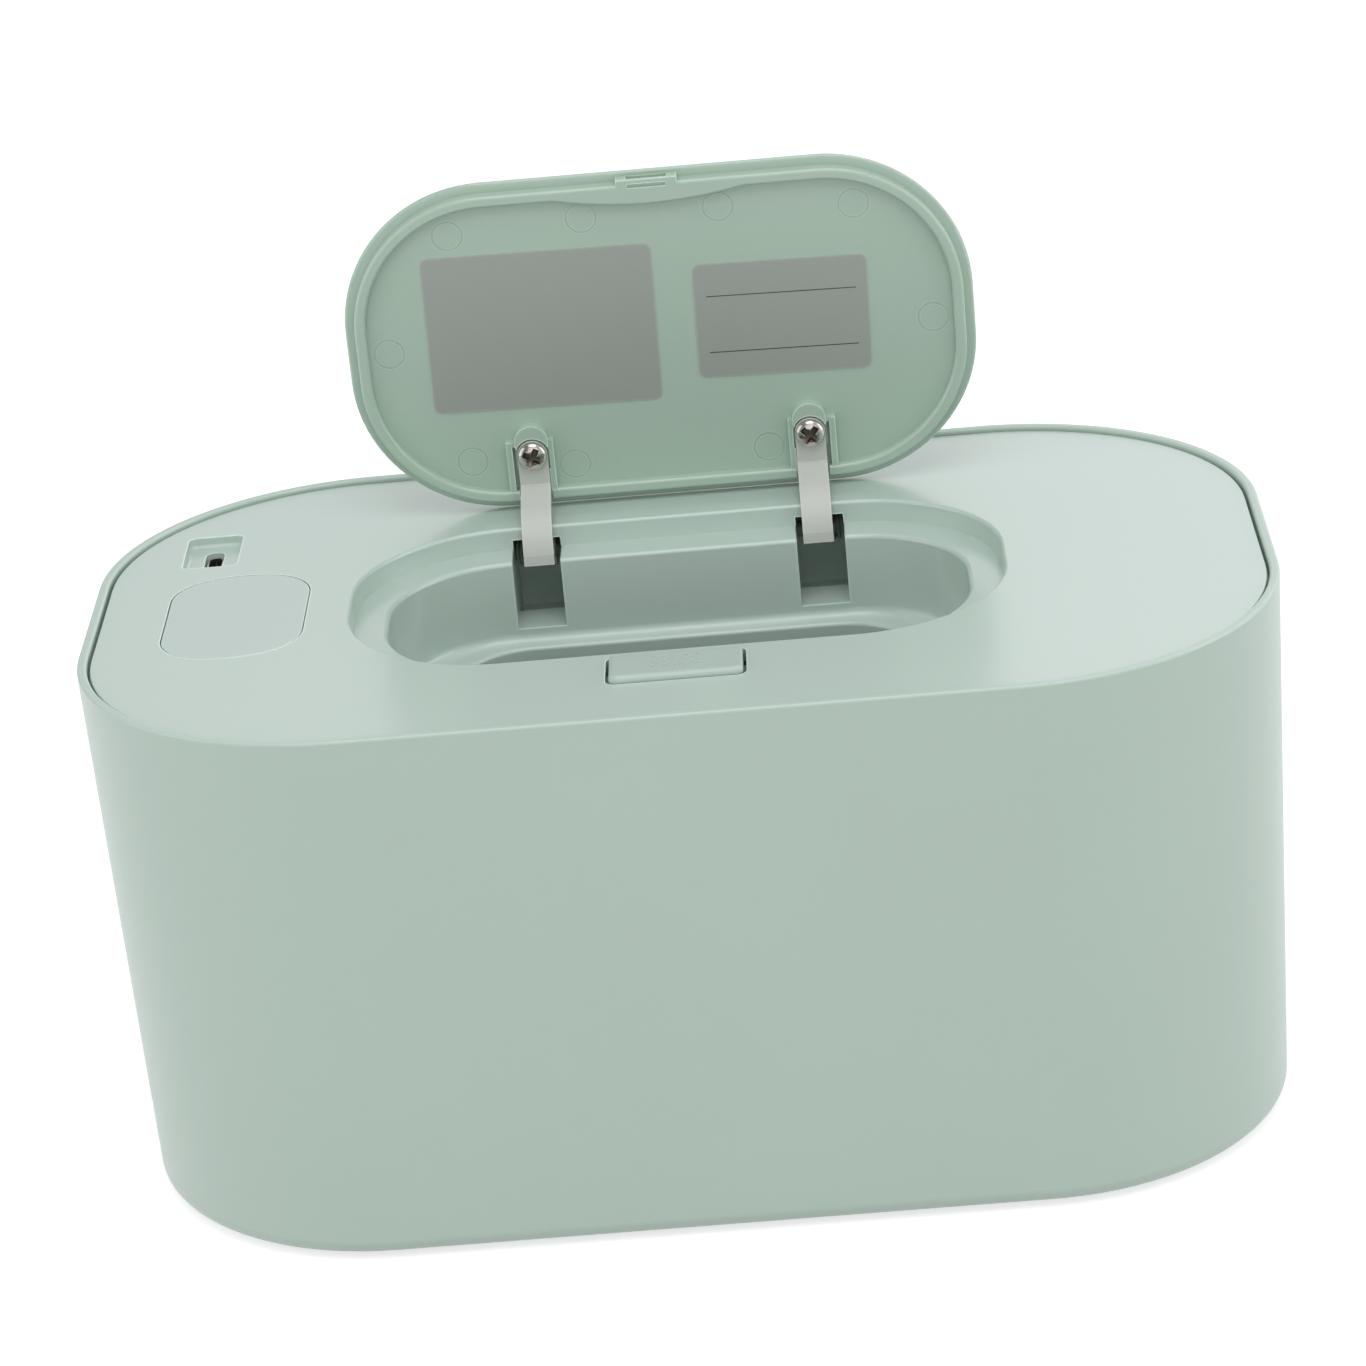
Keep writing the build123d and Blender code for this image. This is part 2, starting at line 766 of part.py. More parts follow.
def arm_profile():
    """The gooseneck strip in the YZ plane about its pin, lid closed."""
    inner = arm_bend_radius - arm_thickness / 2
    ring = Circle(arm_outer) - Circle(inner)
    first = math.radians(arm_limb_angle)
    end = math.radians(arm_bend_angle)
    far = 2 * arm_outer
    wedge = make_face(
        Polyline(
            (0, 0), (-far * math.sin(first), -far * math.cos(first)), (-far, -far),
            (-far * math.sin(end), -far * math.cos(end)), (0, 0),
        )
    )
    bend = ring & wedge
    limb = Rot(0, 0, -arm_limb_angle) * Pos(0, -arm_outer / 2) * Rectangle(limb_thickness, arm_outer)
    start = (-arm_bend_radius * math.sin(end), -arm_bend_radius * math.cos(end))
    top = (start[0] - pad_lean, arm_rise)
    rise = math.hypot(top[0] - start[0], top[1] - start[1])
    lean = math.degrees(math.atan2(pad_lean, top[1] - start[1]))
    riser = Pos((start[0] + top[0]) / 2, (start[1] + top[1]) / 2) * Rot(0, 0, lean) * Rectangle(
        arm_thickness, rise + arm_thickness * 0.6
    )
    pad_start = top[0] + arm_thickness / 2
    pad_end = -screw_reach - arm_width / 2
    pad = Pos((pad_start + pad_end) / 2, arm_rise) * Rectangle(pad_start - pad_end, arm_thickness)
    return bend + limb + riser + pad


def make_hinge_arm(side):
    centre = side * (hinge_x - arm_inset)
    profile = Pos(hinge_y, hinge_z) * arm_profile()
    arm = side_extrude(profile, centre - arm_width / 2, centre + arm_width / 2)
    tip = arm.edges().filter_by(Axis.Z).group_by(Axis.Y)[0]
    arm = fillet(tip, pad_corner)
    hub = Pos(centre, hinge_y, hinge_z) * Rot(0, 90, 0) * Cylinder(hub_radius, arm_width)
    arm += hub
    arm -= Pos(centre, hinge_y, hinge_z) * Rot(0, 90, 0) * Cylinder(pin_radius + pin_fit, arm_width)
    pad_z0 = hinge_z + arm_rise
    arm -= disc(centre, hinge_y - screw_reach, pad_z0 - arm_thickness, pad_z0 + arm_thickness,
                arm_screw_radius + 2 * screw_fit)
    return arm.rotate(hinge_axis, -open_angle)


def make_hinge_spring(side):
    length = spring_pitch * spring_turns
    first = hinge_x - arm_inset + arm_width / 2 + spring_wire + 0.15
    coil = Helix(spring_pitch, length, spring_radius)
    start = Plane(origin=coil @ 0, z_dir=coil % 0)
    spring = sweep(start * Circle(spring_wire), path=coil)
    spring = Pos(first, 0, 0) * Rot(0, 90, 0) * spring
    if side < 0:
        spring = spring.mirror(Plane.YZ)
    return Pos(0, hinge_y, hinge_z) * spring


# ------------------------------------------------------------------ lid
def lid_ring(inset, z0, z1):
    return rounded_prism(
        well_length - 2 * (lid_gap + inset), well_width - 2 * (lid_gap + inset),
        well_corner - lid_gap - inset, z0, z1, well_y,
    )


def lid_low(depth):
    return panel_top - depth


def make_lid():
    lid = lid_ring(0, lid_low(lid_band), panel_top)
    lid = fillet(lid.edges().group_by(Axis.Z)[-1], lid_top_radius)
    lid = fillet(lid.edges().group_by(Axis.Z)[0], lid_low_radius)
    body = lid_ring(lip_inset, lid_low(lip_depth), lid_low(lid_band))
    body -= lid_ring(lip_inset + lip_width, lid_low(lip_depth), lid_low(lid_plate))
    front = well_y - well_width / 2 + lid_gap
    lip_inner = front + lip_inset + lip_width
    # crescent behind the catch
    radius = (crescent_half**2 + crescent_bulge**2) / (2 * crescent_bulge)
    segment = disc(0, lip_inner + crescent_bulge - radius, lid_low(lip_depth), lid_low(lid_plate), radius)
    body += segment & lid_ring(lip_inset + lip_width - 0.5, lid_low(lip_depth), lid_low(lid_plate))
    body = fillet(
        [e for e in body.edges() if abs(e.center().Z - lid_low(lip_depth)) < 0.01], lip_edge_radius
    )
    lid += body
    # catch block across the outer band
    lid += block(
        -catch_half, catch_half, front + catch_inset, lip_inner,
        lid_low(lip_depth), lid_low(lid_band),
    )
    notch = block(
        -notch_half, notch_half, front - lid_gap, front + notch_reach,
        lid_low(notch_bottom), lid_low(notch_top),
    )
    lid -= notch
    slit = front + slit_place
    lid -= block(
        -slit_half, slit_half, slit, slit + slit_width,
        lid_low(lip_depth), lid_low(lip_depth - slit_depth),
    )
    # seats, bosses and guides of the two arms
    for side in (-1, 1):
        centre = side * (hinge_x - arm_inset)
        screw_y = hinge_y - screw_reach
        pad_top = hinge_z + arm_rise + arm_thickness / 2
        half = arm_width / 2 + guide_gap
        lid -= block(
            centre - half, centre + half, screw_y, well_back,
            lid_low(lip_depth) - 1, lid_low(lid_plate),
        )
        lid += block(
            centre - boss_radius, centre + boss_radius, screw_y - boss_length, screw_y + boss_radius,
            pad_top, lid_low(lid_plate),
        )
        boss = disc(centre, screw_y - boss_length, lid_low(boss_depth), lid_low(lid_plate), boss_radius)
        web_y = screw_y - guide_beyond
        boss += block(
            centre - boss_radius, centre + boss_radius, screw_y - boss_length,
            web_y + web_thickness, lid_low(boss_depth), lid_low(lid_plate),
        )
        for hand in (-1, 1):
            x = side * hinge_x + hand * (guide_offset + guide_thickness / 2)
            boss += block(
                x - guide_thickness / 2, x + guide_thickness / 2, web_y,
                well_back - lid_gap - lip_inset - lip_width * 0.5,
                lid_low(guide_depth), lid_low(lid_plate),
            )
        boss += block(
            side * hinge_x - guide_offset, side * hinge_x + guide_offset,
            web_y, web_y + web_thickness, lid_low(guide_depth), lid_low(lid_plate),
        )
        boss -= disc(centre, screw_y, lid_low(boss_depth), pad_top, half)
        boss -= block(
            centre - half, centre + half, screw_y, screw_y + boss_radius, lid_low(boss_depth), pad_top,
        )
        lid += boss
        lid -= disc(
            centre, screw_y, pad_top, pad_top + arm_screw_grip - arm_thickness,
            arm_screw_radius + screw_fit,
        )
    # shallow round marks left by the mould's ejector pins
    floor = lid_low(lid_plate)
    for x, reach in mark_places:
        ring = disc(x, hinge_y - reach, floor, floor + mark_depth, mark_radius)
        ring -= disc(x, hinge_y - reach, floor, floor + mark_depth, mark_radius - mark_groove)
        lid -= ring
    return lid.rotate(hinge_axis, -open_angle)


def make_label(size, place, turn):
    x, reach = place
    z = lid_low(lid_plate)
    face = Pos(x, hinge_y - reach, z) * Rot(0, 0, turn) * RectangleRounded(*size, label_corner)
    label = extrude(face, amount=-label_thickness)
    return label.rotate(hinge_axis, -open_angle)


def make_arm_screws():
    seat = hinge_z + arm_rise - arm_thickness / 2
    screws = []
    for side in (-1, 1):
        screw = pan_screw(
            side * (hinge_x - arm_inset), hinge_y - screw_reach, seat,
            arm_screw_radius, arm_screw_grip, arm_head_radius, arm_head_height,
        )
        screws.append(screw.rotate(hinge_axis, -open_angle))
    return Compound(screws)


# ------------------------------------------------------------------ release button
def blade_face(grow):
    """The inclined blade in the YZ plane; it widens by a clearance for the slot."""
    half = blade_width / 2 + grow
    run = blade_end - blade_knee
    return make_face(
        Polyline(
            (blade_y - half, panel_top - blade_knee),
            (blade_y + half, panel_top - blade_knee),
            (blade_y + half + run, panel_top - blade_end),
            (blade_y - half + run, panel_top - blade_end),
            (blade_y - half, panel_top - blade_knee),
        )
    )


def make_release_button():
    top = panel_top + button_stand
    low = panel_top - button_skirt
    half = button_length / 2
    button = block(-half, half, button_front, button_back, low, top)
    button = fillet(button.edges().filter_by(Axis.Z), button_corner)
    button = fillet(button.edges().group_by(Axis.Z)[-1], button_edge_radius)
    rounder = block(-half, half, button_front, button_back, low, top)
    rear = rounder.edges().filter_by(Axis.X).group_by(Axis.Z)[-1].sort_by(Axis.Y)[-1]
    button &= fillet(rear, button_rear_radius)
    button -= block(
        -half + button_wall, half - button_wall, button_front + button_wall, button_back - button_wall,
        low, top - button_top,
    )
    button -= block(
        -skirt_notch_half, skirt_notch_half, button_back - 2 * button_wall, button_back,
        low, top - button_top,
    )
    for side in (-1, 1):
        inner, outer = sorted((side * (half - button_wall), side * (half + flange_out)))
        button += block(
            inner, outer, button_y - flange_half, button_y + flange_half, low, low + flange_thickness
        )
        x0 = side * blade_x - blade_thickness / 2
        x1 = side * blade_x + blade_thickness / 2
        button += side_extrude(blade_face(0), x0, x1)
        button += block(
            x0, x1, blade_y - blade_width / 2, blade_y + blade_width / 2,
            panel_top - blade_knee, top - button_top,
        )
    for row in range(-2, 3):
        count = 5 if row % 2 == 0 else 4
        for i in range(count):
            x = (i - (count - 1) / 2) * 2 * dot_pitch_x
            button += disc(x, button_y + row * dot_pitch_y, top, top + dot_height, dot_radius)
    return button


def make_latch_slider():
    z1 = panel_top - slider_top
    z0 = z1 - slider_thickness
    slider = block(-slider_half, slider_half, slider_front, slider_back, z0, z1)
    slider += block(
        -upright_half, upright_half, slider_back, slider_back + upright_thickness,
        z0, panel_top - nose_top,
    )
    nose = block(
        -nose_half, nose_half, slider_back, nose_tip,
        panel_top - nose_top - nose_thickness, panel_top - nose_top,
    )
    tip = nose.edges().filter_by(Axis.X).group_by(Axis.Y)[-1].sort_by(Axis.Z)[-1:]
    slider += chamfer(tip, nose_thickness * 0.6)
    room = return_spring_radius + return_spring_wire + spring_room
    slider -= block(
        -room, room, return_spring_y - room, return_spring_y + room + button_travel, z0, z1
    )
    for side in (-1, 1):
        x0 = side * blade_x - blade_thickness / 2 - slider_fit
        x1 = side * blade_x + blade_thickness / 2 + slider_fit
        slider -= side_extrude(blade_face(slider_fit), x0, x1)
    return slider


def make_button_cage():
    low = panel_top - cage_depth
    floor = low + cage_floor
    outer = cage_half + cage_wall
    cage = block(-outer, outer, cage_front - cage_wall, cage_back, low, panel_low)
    cage -= block(-cage_half, cage_half, cage_front, cage_back, floor, panel_low)
    ledge_top = panel_top - slider_top - slider_thickness - slider_fit
    for side in (-1, 1):
        inner, wall = sorted((side * (cage_half - 2.0), side * cage_half))
        cage += block(inner, wall, cage_front, cage_back, floor, ledge_top)
        near, far = sorted((side * outer, side * (outer + cage_lug)))
        lug_top = panel_low - cage_boss_length
        lug = block(
            near, far, button_y - cage_lug_width / 2, button_y + cage_lug_width / 2,
            lug_top - cage_lug_thickness, lug_top,
        )
        lug -= disc(
            side * (outer + cage_boss_out), button_y, lug_top - cage_lug_thickness, lug_top,
            cage_screw_radius + 2 * screw_fit,
        )
        cage += lug
    cage += disc(0, return_spring_y, floor, floor + spring_peg_height, spring_peg_radius)
    return cage


def make_button_spring():
    floor = panel_top - cage_depth + cage_floor
    top = panel_top + button_stand - button_top
    height = top - floor - 2 * return_spring_wire
    coil = Helix(height / return_spring_turns, height, return_spring_radius)
    start = Plane(origin=coil @ 0, z_dir=coil % 0)
    spring = sweep(start * Circle(return_spring_wire), path=coil)
    return Pos(0, return_spring_y, floor + return_spring_wire) * spring


# ------------------------------------------------------------------ fasteners
def make_tray_screws():
    seat = tray_low + tray_head_height
    return Compound([
        pan_screw(x, y, seat, tray_screw_radius, tray_screw_length, tray_head_radius, tray_head_height)
        for x, y in tray_posts
    ])


def make_board_screws():
    return Compound([
        pan_screw(x, y, board_low, board_screw_radius, board_screw_length, board_head_radius,
                  board_head_height)
        for x, y in board_posts
    ])


def make_cage_screws():
    seat = panel_low - cage_boss_length - cage_lug_thickness
    x = cage_half + cage_wall + cage_boss_out
    return Compound([
        pan_screw(side * x, button_y, seat, cage_screw_radius, cage_screw_length, board_head_radius,
                  board_head_height)
        for side in (-1, 1)
    ])


pieces = {
    "casing": make_casing,
    "rubber_feet": make_feet,
    "top_panel": make_top_panel,
    "touch_window": make_touch_window,
    "under_tray": make_under_tray,
    "heater_plate": make_heater_plate,
    "heater_foil": make_heater_foil,
    "insulation_pad": make_insulation_pad,
    "temperature_sensor": make_temperature_sensor,
    "thermal_cutout": make_thermal_cutout,
    "heater_leads": make_heater_leads,
    "sensor_leads": make_sensor_leads,
    "circuit_board": make_circuit_board,
    "display_module": make_display_module,
    "touch_electrode": make_touch_electrode,
    "inlet_socket": make_inlet_socket,
    "inlet_tongue": make_inlet_tongue,
    "hinge_pin_left": lambda: make_hinge_pin(-1),
    "hinge_pin_right": lambda: make_hinge_pin(1),
    "hinge_spring_left": lambda: make_hinge_spring(-1),
    "hinge_spring_right": lambda: make_hinge_spring(1),
    "hinge_arm_left": lambda: make_hinge_arm(-1),
    "hinge_arm_right": lambda: make_hinge_arm(1),
    "lid": make_lid,
    "label_large": lambda: make_label(large_label, large_label_place, large_label_turn),
    "label_small": lambda: make_label(small_label, small_label_place, small_label_turn),
    "arm_screws": make_arm_screws,
    "release_button": make_release_button,
    "latch_slider": make_latch_slider,
    "button_cage": make_button_cage,
    "button_spring": make_button_spring,
    "tray_screws": make_tray_screws,
    "board_screws": make_board_screws,
    "cage_screws": make_cage_screws,
}

os.makedirs("parts", exist_ok=True)
for node, make in pieces.items():
    export_step(make(), f"parts/{node}.step")
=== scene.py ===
import json
import math

import bpy
from mathutils import Matrix, Vector


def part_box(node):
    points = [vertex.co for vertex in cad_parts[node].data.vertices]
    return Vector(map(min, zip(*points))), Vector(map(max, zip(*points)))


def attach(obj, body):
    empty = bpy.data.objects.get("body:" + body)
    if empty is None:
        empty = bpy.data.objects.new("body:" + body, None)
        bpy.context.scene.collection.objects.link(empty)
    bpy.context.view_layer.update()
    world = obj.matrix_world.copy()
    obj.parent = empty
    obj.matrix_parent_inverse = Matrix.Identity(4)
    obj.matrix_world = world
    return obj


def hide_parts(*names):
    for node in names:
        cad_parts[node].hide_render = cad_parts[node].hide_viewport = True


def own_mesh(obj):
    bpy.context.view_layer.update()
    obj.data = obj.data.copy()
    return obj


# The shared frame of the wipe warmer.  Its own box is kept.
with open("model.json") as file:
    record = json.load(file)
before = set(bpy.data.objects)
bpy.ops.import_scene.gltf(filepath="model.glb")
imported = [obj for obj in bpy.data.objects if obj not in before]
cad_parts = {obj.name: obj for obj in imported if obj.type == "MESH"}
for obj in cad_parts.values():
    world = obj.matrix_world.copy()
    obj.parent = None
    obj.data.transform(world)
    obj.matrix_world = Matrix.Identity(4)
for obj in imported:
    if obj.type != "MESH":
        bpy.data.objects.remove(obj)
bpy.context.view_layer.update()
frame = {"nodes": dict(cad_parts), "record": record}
for piece in bpy.context.selected_objects:
    piece.select_set(False)


# ---- Camera ----
# A long lens a little above the table, in front of the tub and rolled slightly
# clockwise, so that the tub leans to the left in the frame.
camera_turn = math.radians(2.076)
camera_rise = math.radians(22.408)
camera_roll = math.radians(-5.452)
look_back = Vector((
    math.sin(camera_turn) * math.cos(camera_rise),
    -math.cos(camera_turn) * math.cos(camera_rise),
    math.sin(camera_rise),
))
level_right = Vector((math.cos(camera_turn), math.sin(camera_turn), 0))
level_up = look_back.cross(level_right)
camera_right = level_right * math.cos(camera_roll) + level_up * math.sin(camera_roll)
camera_up = level_up * math.cos(camera_roll) - level_right * math.sin(camera_roll)
camera_place = (0.029849, -0.839866, 0.428710)
camera_data = bpy.data.cameras.new("camera")
camera_data.sensor_width = 36.0
camera_data.lens = 127.64
camera_data.clip_start = 0.05
camera_data.clip_end = 20.0
camera = bpy.data.objects.new("camera", camera_data)
bpy.context.collection.objects.link(camera)
turn = Matrix((camera_right, camera_up, look_back)).transposed().to_4x4()
camera.matrix_world = Matrix.Translation(camera_place) @ turn
bpy.context.scene.camera = camera


# ---- Studio ----
# A pale seamless sheet under the tub, lit by large soft boxes at both sides, above
# and low in front.  What the tub mirrors is dimmer to its left and in front of it,
# where the room is darker.
bpy.context.scene.view_settings.view_transform = "Standard"
world = bpy.data.worlds.new("surround")
bpy.context.scene.world = world
world.use_nodes = True
nodes = world.node_tree.nodes
links = world.node_tree.links
nodes.clear()
world_out = nodes.new("ShaderNodeOutputWorld")
seen = nodes.new("ShaderNodeBackground")
seen.inputs["Color"].default_value = (1, 1, 1, 1)
seen.inputs["Strength"].default_value = 1.0
lit = nodes.new("ShaderNodeBackground")
lit.inputs["Color"].default_value = (0.97, 0.985, 1, 1)
lit.inputs["Strength"].default_value = 0.56
rays = nodes.new("ShaderNodeLightPath")
mirrored = nodes.new("ShaderNodeBackground")
mirrored.inputs["Color"].default_value = (0.98, 0.985, 1, 1)
heading = nodes.new("ShaderNodeTexCoord")
across = nodes.new("ShaderNodeSeparateXYZ")
room = nodes.new("ShaderNodeMapRange")
room.interpolation_type = "SMOOTHSTEP"
room.inputs["From Min"].default_value = -0.45
room.inputs["From Max"].default_value = 0.30
room.inputs["To Min"].default_value = 0.34
room.inputs["To Max"].default_value = 1.0
depth = nodes.new("ShaderNodeMapRange")
depth.interpolation_type = "SMOOTHSTEP"
depth.inputs["From Min"].default_value = -0.40
depth.inputs["From Max"].default_value = 0.25
depth.inputs["To Min"].default_value = 0.55
depth.inputs["To Max"].default_value = 1.45
dimmed = nodes.new("ShaderNodeMath")
dimmed.operation = "MULTIPLY"
links.new(heading.outputs["Generated"], across.inputs[0])
links.new(across.outputs["X"], room.inputs["Value"])
links.new(across.outputs["Y"], depth.inputs["Value"])
links.new(room.outputs[0], dimmed.inputs[0])
links.new(depth.outputs[0], dimmed.inputs[1])
links.new(dimmed.outputs[0], mirrored.inputs["Strength"])
mirror_or_lit = nodes.new("ShaderNodeMixShader")
links.new(rays.outputs["Is Glossy Ray"], mirror_or_lit.inputs["Fac"])
links.new(lit.outputs[0], mirror_or_lit.inputs[1])
links.new(mirrored.outputs[0], mirror_or_lit.inputs[2])
either = nodes.new("ShaderNodeMath")
either.operation = "MAXIMUM"
choose = nodes.new("ShaderNodeMixShader")
links.new(rays.outputs["Is Camera Ray"], either.inputs[0])
links.new(rays.outputs["Is Transmission Ray"], either.inputs[1])
links.new(either.outputs[0], choose.inputs["Fac"])
links.new(mirror_or_lit.outputs[0], choose.inputs[1])
links.new(seen.outputs[0], choose.inputs[2])
links.new(choose.outputs[0], world_out.inputs["Surface"])

# each soft box: where it hangs, what it faces, its side in metres and its watts
for name, place, aim, size, power in (
    ("left_box", (-0.85, -0.25, 0.35), (0, 0, 0.08), 0.7, 1.6),
    ("right_box", (0.9, -0.15, 0.40), (0, 0, 0.08), 0.7, 1.8),
    ("top_box", (0.05, -0.45, 1.15), (0, 0, 0.10), 0.8, 4.6),
    ("front_box", (0.05, -1.15, 0.35), (0, 0, 0.06), 0.9, 1.7),
):
    lamp_data = bpy.data.lights.new(name, "AREA")
    lamp_data.size = size
    lamp_data.energy = power
    lamp = bpy.data.objects.new(name, lamp_data)
    bpy.context.collection.objects.link(lamp)
    lamp.location = place
    lamp.rotation_euler = (Vector(place) - Vector(aim)).to_track_quat("Z", "Y").to_euler()

sheet_side = 6.0
sheet_drop = 0.0002
sheet_glow = 0.66
sheet_grey = (0.60, 0.60, 0.60, 1)
bpy.ops.mesh.primitive_plane_add(size=sheet_side, location=(0, 0, -sheet_drop))
floor = bpy.context.object
floor.name = "floor"
paper = bpy.data.materials.new("seamless_paper")
paper.use_nodes = True
nodes = paper.node_tree.nodes
links = paper.node_tree.links
nodes.clear()
paper_out = nodes.new("ShaderNodeOutputMaterial")
paper_skin = nodes.new("ShaderNodeBsdfDiffuse")
paper_skin.inputs["Color"].default_value = sheet_grey
paper_glow = nodes.new("ShaderNodeEmission")
paper_glow.inputs["Color"].default_value = (1, 1, 1, 1)
paper_rays = nodes.new("ShaderNodeLightPath")
paper_seen = nodes.new("ShaderNodeMath")
paper_seen.operation = "MAXIMUM"
paper_pick = nodes.new("ShaderNodeMath")
paper_pick.operation = "MULTIPLY"
paper_pick.inputs[1].default_value = sheet_glow
paper_sum = nodes.new("ShaderNodeAddShader")
links.new(paper_rays.outputs["Is Camera Ray"], paper_seen.inputs[0])
links.new(paper_rays.outputs["Is Glossy Ray"], paper_seen.inputs[1])
links.new(paper_seen.outputs[0], paper_pick.inputs[0])
links.new(paper_pick.outputs[0], paper_glow.inputs["Strength"])
links.new(paper_skin.outputs[0], paper_sum.inputs[0])
links.new(paper_glow.outputs[0], paper_sum.inputs[1])
links.new(paper_sum.outputs[0], paper_out.inputs["Surface"])
floor.data.materials.append(paper)


# ---- Casing ----
# The tub that stands on the table: sage ABS, injection moulded in one shot with
# drafted walls, a fine satin skin and a few moulding specks.
def moulded_skin():
    """Group: faint mottling, specks, satin grain and a painted highlight on outward edges, for
    plastic.
    """
    speck_rarity = 0.93
    satin_swing = 0.10
    group = bpy.data.node_groups.new("moulded_skin", "ShaderNodeTree")
    for label, kind, default in (
        ("Colour", "NodeSocketColor", (0.5, 0.5, 0.5, 1)),
        ("Roughness", "NodeSocketFloat", 0.35),
        ("Mottle", "NodeSocketFloat", 0.04),
        ("Grain", "NodeSocketFloat", 0.3),
        ("Specks", "NodeSocketFloat", 0.3),
        ("Edge Highlight", "NodeSocketFloat", 0.6),
    ):
        socket = group.interface.new_socket(label, in_out="INPUT", socket_type=kind)
        socket.default_value = default
    group.interface.new_socket("Colour", in_out="OUTPUT", socket_type="NodeSocketColor")
    group.interface.new_socket("Roughness", in_out="OUTPUT", socket_type="NodeSocketFloat")
    group.interface.new_socket("Height", in_out="OUTPUT", socket_type="NodeSocketFloat")
    nodes = group.nodes
    links = group.links
    put_in = nodes.new("NodeGroupInput")
    put_out = nodes.new("NodeGroupOutput")
    place = nodes.new("ShaderNodeTexCoord")
    cloud = nodes.new("ShaderNodeTexNoise")
    cloud.inputs["Scale"].default_value = 22.0
    cloud.inputs["Detail"].default_value = 3.0
    grain = nodes.new("ShaderNodeTexNoise")
    grain.inputs["Scale"].default_value = 2600.0
    grain.inputs["Detail"].default_value = 1.0
    speck = nodes.new("ShaderNodeTexVoronoi")
    speck.inputs["Scale"].default_value = 90.0
    links.new(place.outputs["Object"], cloud.inputs["Vector"])
    links.new(place.outputs["Object"], grain.inputs["Vector"])
    links.new(place.outputs["Object"], speck.inputs["Vector"])
    # brightness swings a little about 1 with the cloud
    swing = nodes.new("ShaderNodeMath")
    swing.operation = "SUBTRACT"
    swing.inputs[1].default_value = 0.5
    links.new(cloud.outputs["Fac"], swing.inputs[0])
    level = nodes.new("ShaderNodeMath")
    level.operation = "MULTIPLY_ADD"
    level.inputs[2].default_value = 1.0
    links.new(swing.outputs[0], level.inputs[0])
    links.new(put_in.outputs["Mottle"], level.inputs[1])
    tint = nodes.new("ShaderNodeVectorMath")
    tint.operation = "SCALE"
    links.new(put_in.outputs["Colour"], tint.inputs[0])
    links.new(level.outputs[0], tint.inputs["Scale"])
    # a cell now and then holds a darker speck at its middle
    rare = nodes.new("ShaderNodeMath")
    rare.operation = "GREATER_THAN"
    rare.inputs[1].default_value = speck_rarity
    pick = nodes.new("ShaderNodeSeparateColor")
    links.new(speck.outputs["Color"], pick.inputs[0])
    links.new(pick.outputs[0], rare.inputs[0])
    near = nodes.new("ShaderNodeMapRange")
    near.inputs["From Min"].default_value = 0.02
    near.inputs["From Max"].default_value = 0.05
    near.inputs["To Min"].default_value = 1.0
    near.inputs["To Max"].default_value = 0.0
    links.new(speck.outputs["Distance"], near.inputs["Value"])
    spot = nodes.new("ShaderNodeMath")
    spot.operation = "MULTIPLY"
    links.new(rare.outputs[0], spot.inputs[0])
    links.new(near.outputs[0], spot.inputs[1])
    shade = nodes.new("ShaderNodeMath")
    shade.operation = "MULTIPLY"
    links.new(spot.outputs[0], shade.inputs[0])
    links.new(put_in.outputs["Specks"], shade.inputs[1])
    keep = nodes.new("ShaderNodeMath")
    keep.operation = "SUBTRACT"
    keep.inputs[0].default_value = 1.0
    links.new(shade.outputs[0], keep.inputs[1])
    # painted highlight: outward edges are lightened in the colour, standing in for the light
    # their small rounds catch
    highlight_bevel = nodes.new("ShaderNodeBevel")
    highlight_bevel.samples = 4
    highlight_bevel.inputs["Radius"].default_value = 0.0006
    flat = nodes.new("ShaderNodeNewGeometry")
    alike = nodes.new("ShaderNodeVectorMath")
    alike.operation = "DOT_PRODUCT"
    links.new(highlight_bevel.outputs[0], alike.inputs[0])
    links.new(flat.outputs["Normal"], alike.inputs[1])
    bent = nodes.new("ShaderNodeMath")
    bent.operation = "SUBTRACT"
    bent.use_clamp = True
    bent.inputs[0].default_value = 1.0
    links.new(alike.outputs["Value"], bent.inputs[1])
    # the painted highlight keeps to outward edges, which stand free of shade
    free = nodes.new("ShaderNodeAmbientOcclusion")
    free.samples = 4
    free.only_local = True
    free.inputs["Distance"].default_value = 0.0015
    open_side = nodes.new("ShaderNodeMapRange")
    open_side.inputs["From Min"].default_value = 0.80
    open_side.inputs["From Max"].default_value = 0.98
    links.new(free.outputs["AO"], open_side.inputs["Value"])
    outward = nodes.new("ShaderNodeMath")
    outward.operation = "MULTIPLY"
    links.new(bent.outputs[0], outward.inputs[0])
    links.new(open_side.outputs[0], outward.inputs[1])
    specks_and_edge_highlight = nodes.new("ShaderNodeMath")
    specks_and_edge_highlight.operation = "MULTIPLY_ADD"
    links.new(outward.outputs[0], specks_and_edge_highlight.inputs[0])
    links.new(put_in.outputs["Edge Highlight"], specks_and_edge_highlight.inputs[1])
    links.new(keep.outputs[0], specks_and_edge_highlight.inputs[2])
    done = nodes.new("ShaderNodeVectorMath")
    done.operation = "SCALE"
    links.new(tint.outputs[0], done.inputs[0])
    links.new(specks_and_edge_highlight.outputs[0], done.inputs["Scale"])
    links.new(done.outputs[0], put_out.inputs["Colour"])
    # the swing stays small, so that no finish crosses from satin to gloss in spots
    satin = nodes.new("ShaderNodeMath")
    satin.operation = "MULTIPLY_ADD"
    satin.inputs[1].default_value = satin_swing
    links.new(swing.outputs[0], satin.inputs[0])
    links.new(put_in.outputs["Roughness"], satin.inputs[2])
    links.new(satin.outputs[0], put_out.inputs["Roughness"])
    lift = nodes.new("ShaderNodeMath")
    lift.operation = "MULTIPLY"
    links.new(grain.outputs["Fac"], lift.inputs[0])
    links.new(put_in.outputs["Grain"], lift.inputs[1])
    links.new(lift.outputs[0], put_out.inputs["Height"])
    return group


def linear_light(colour):
    """A colour given as it should look, 0 to 255, in the shader's linear values."""
    return [((c / 255 + 0.055) / 1.055) ** 2.4 for c in colour]


skin_group = moulded_skin()


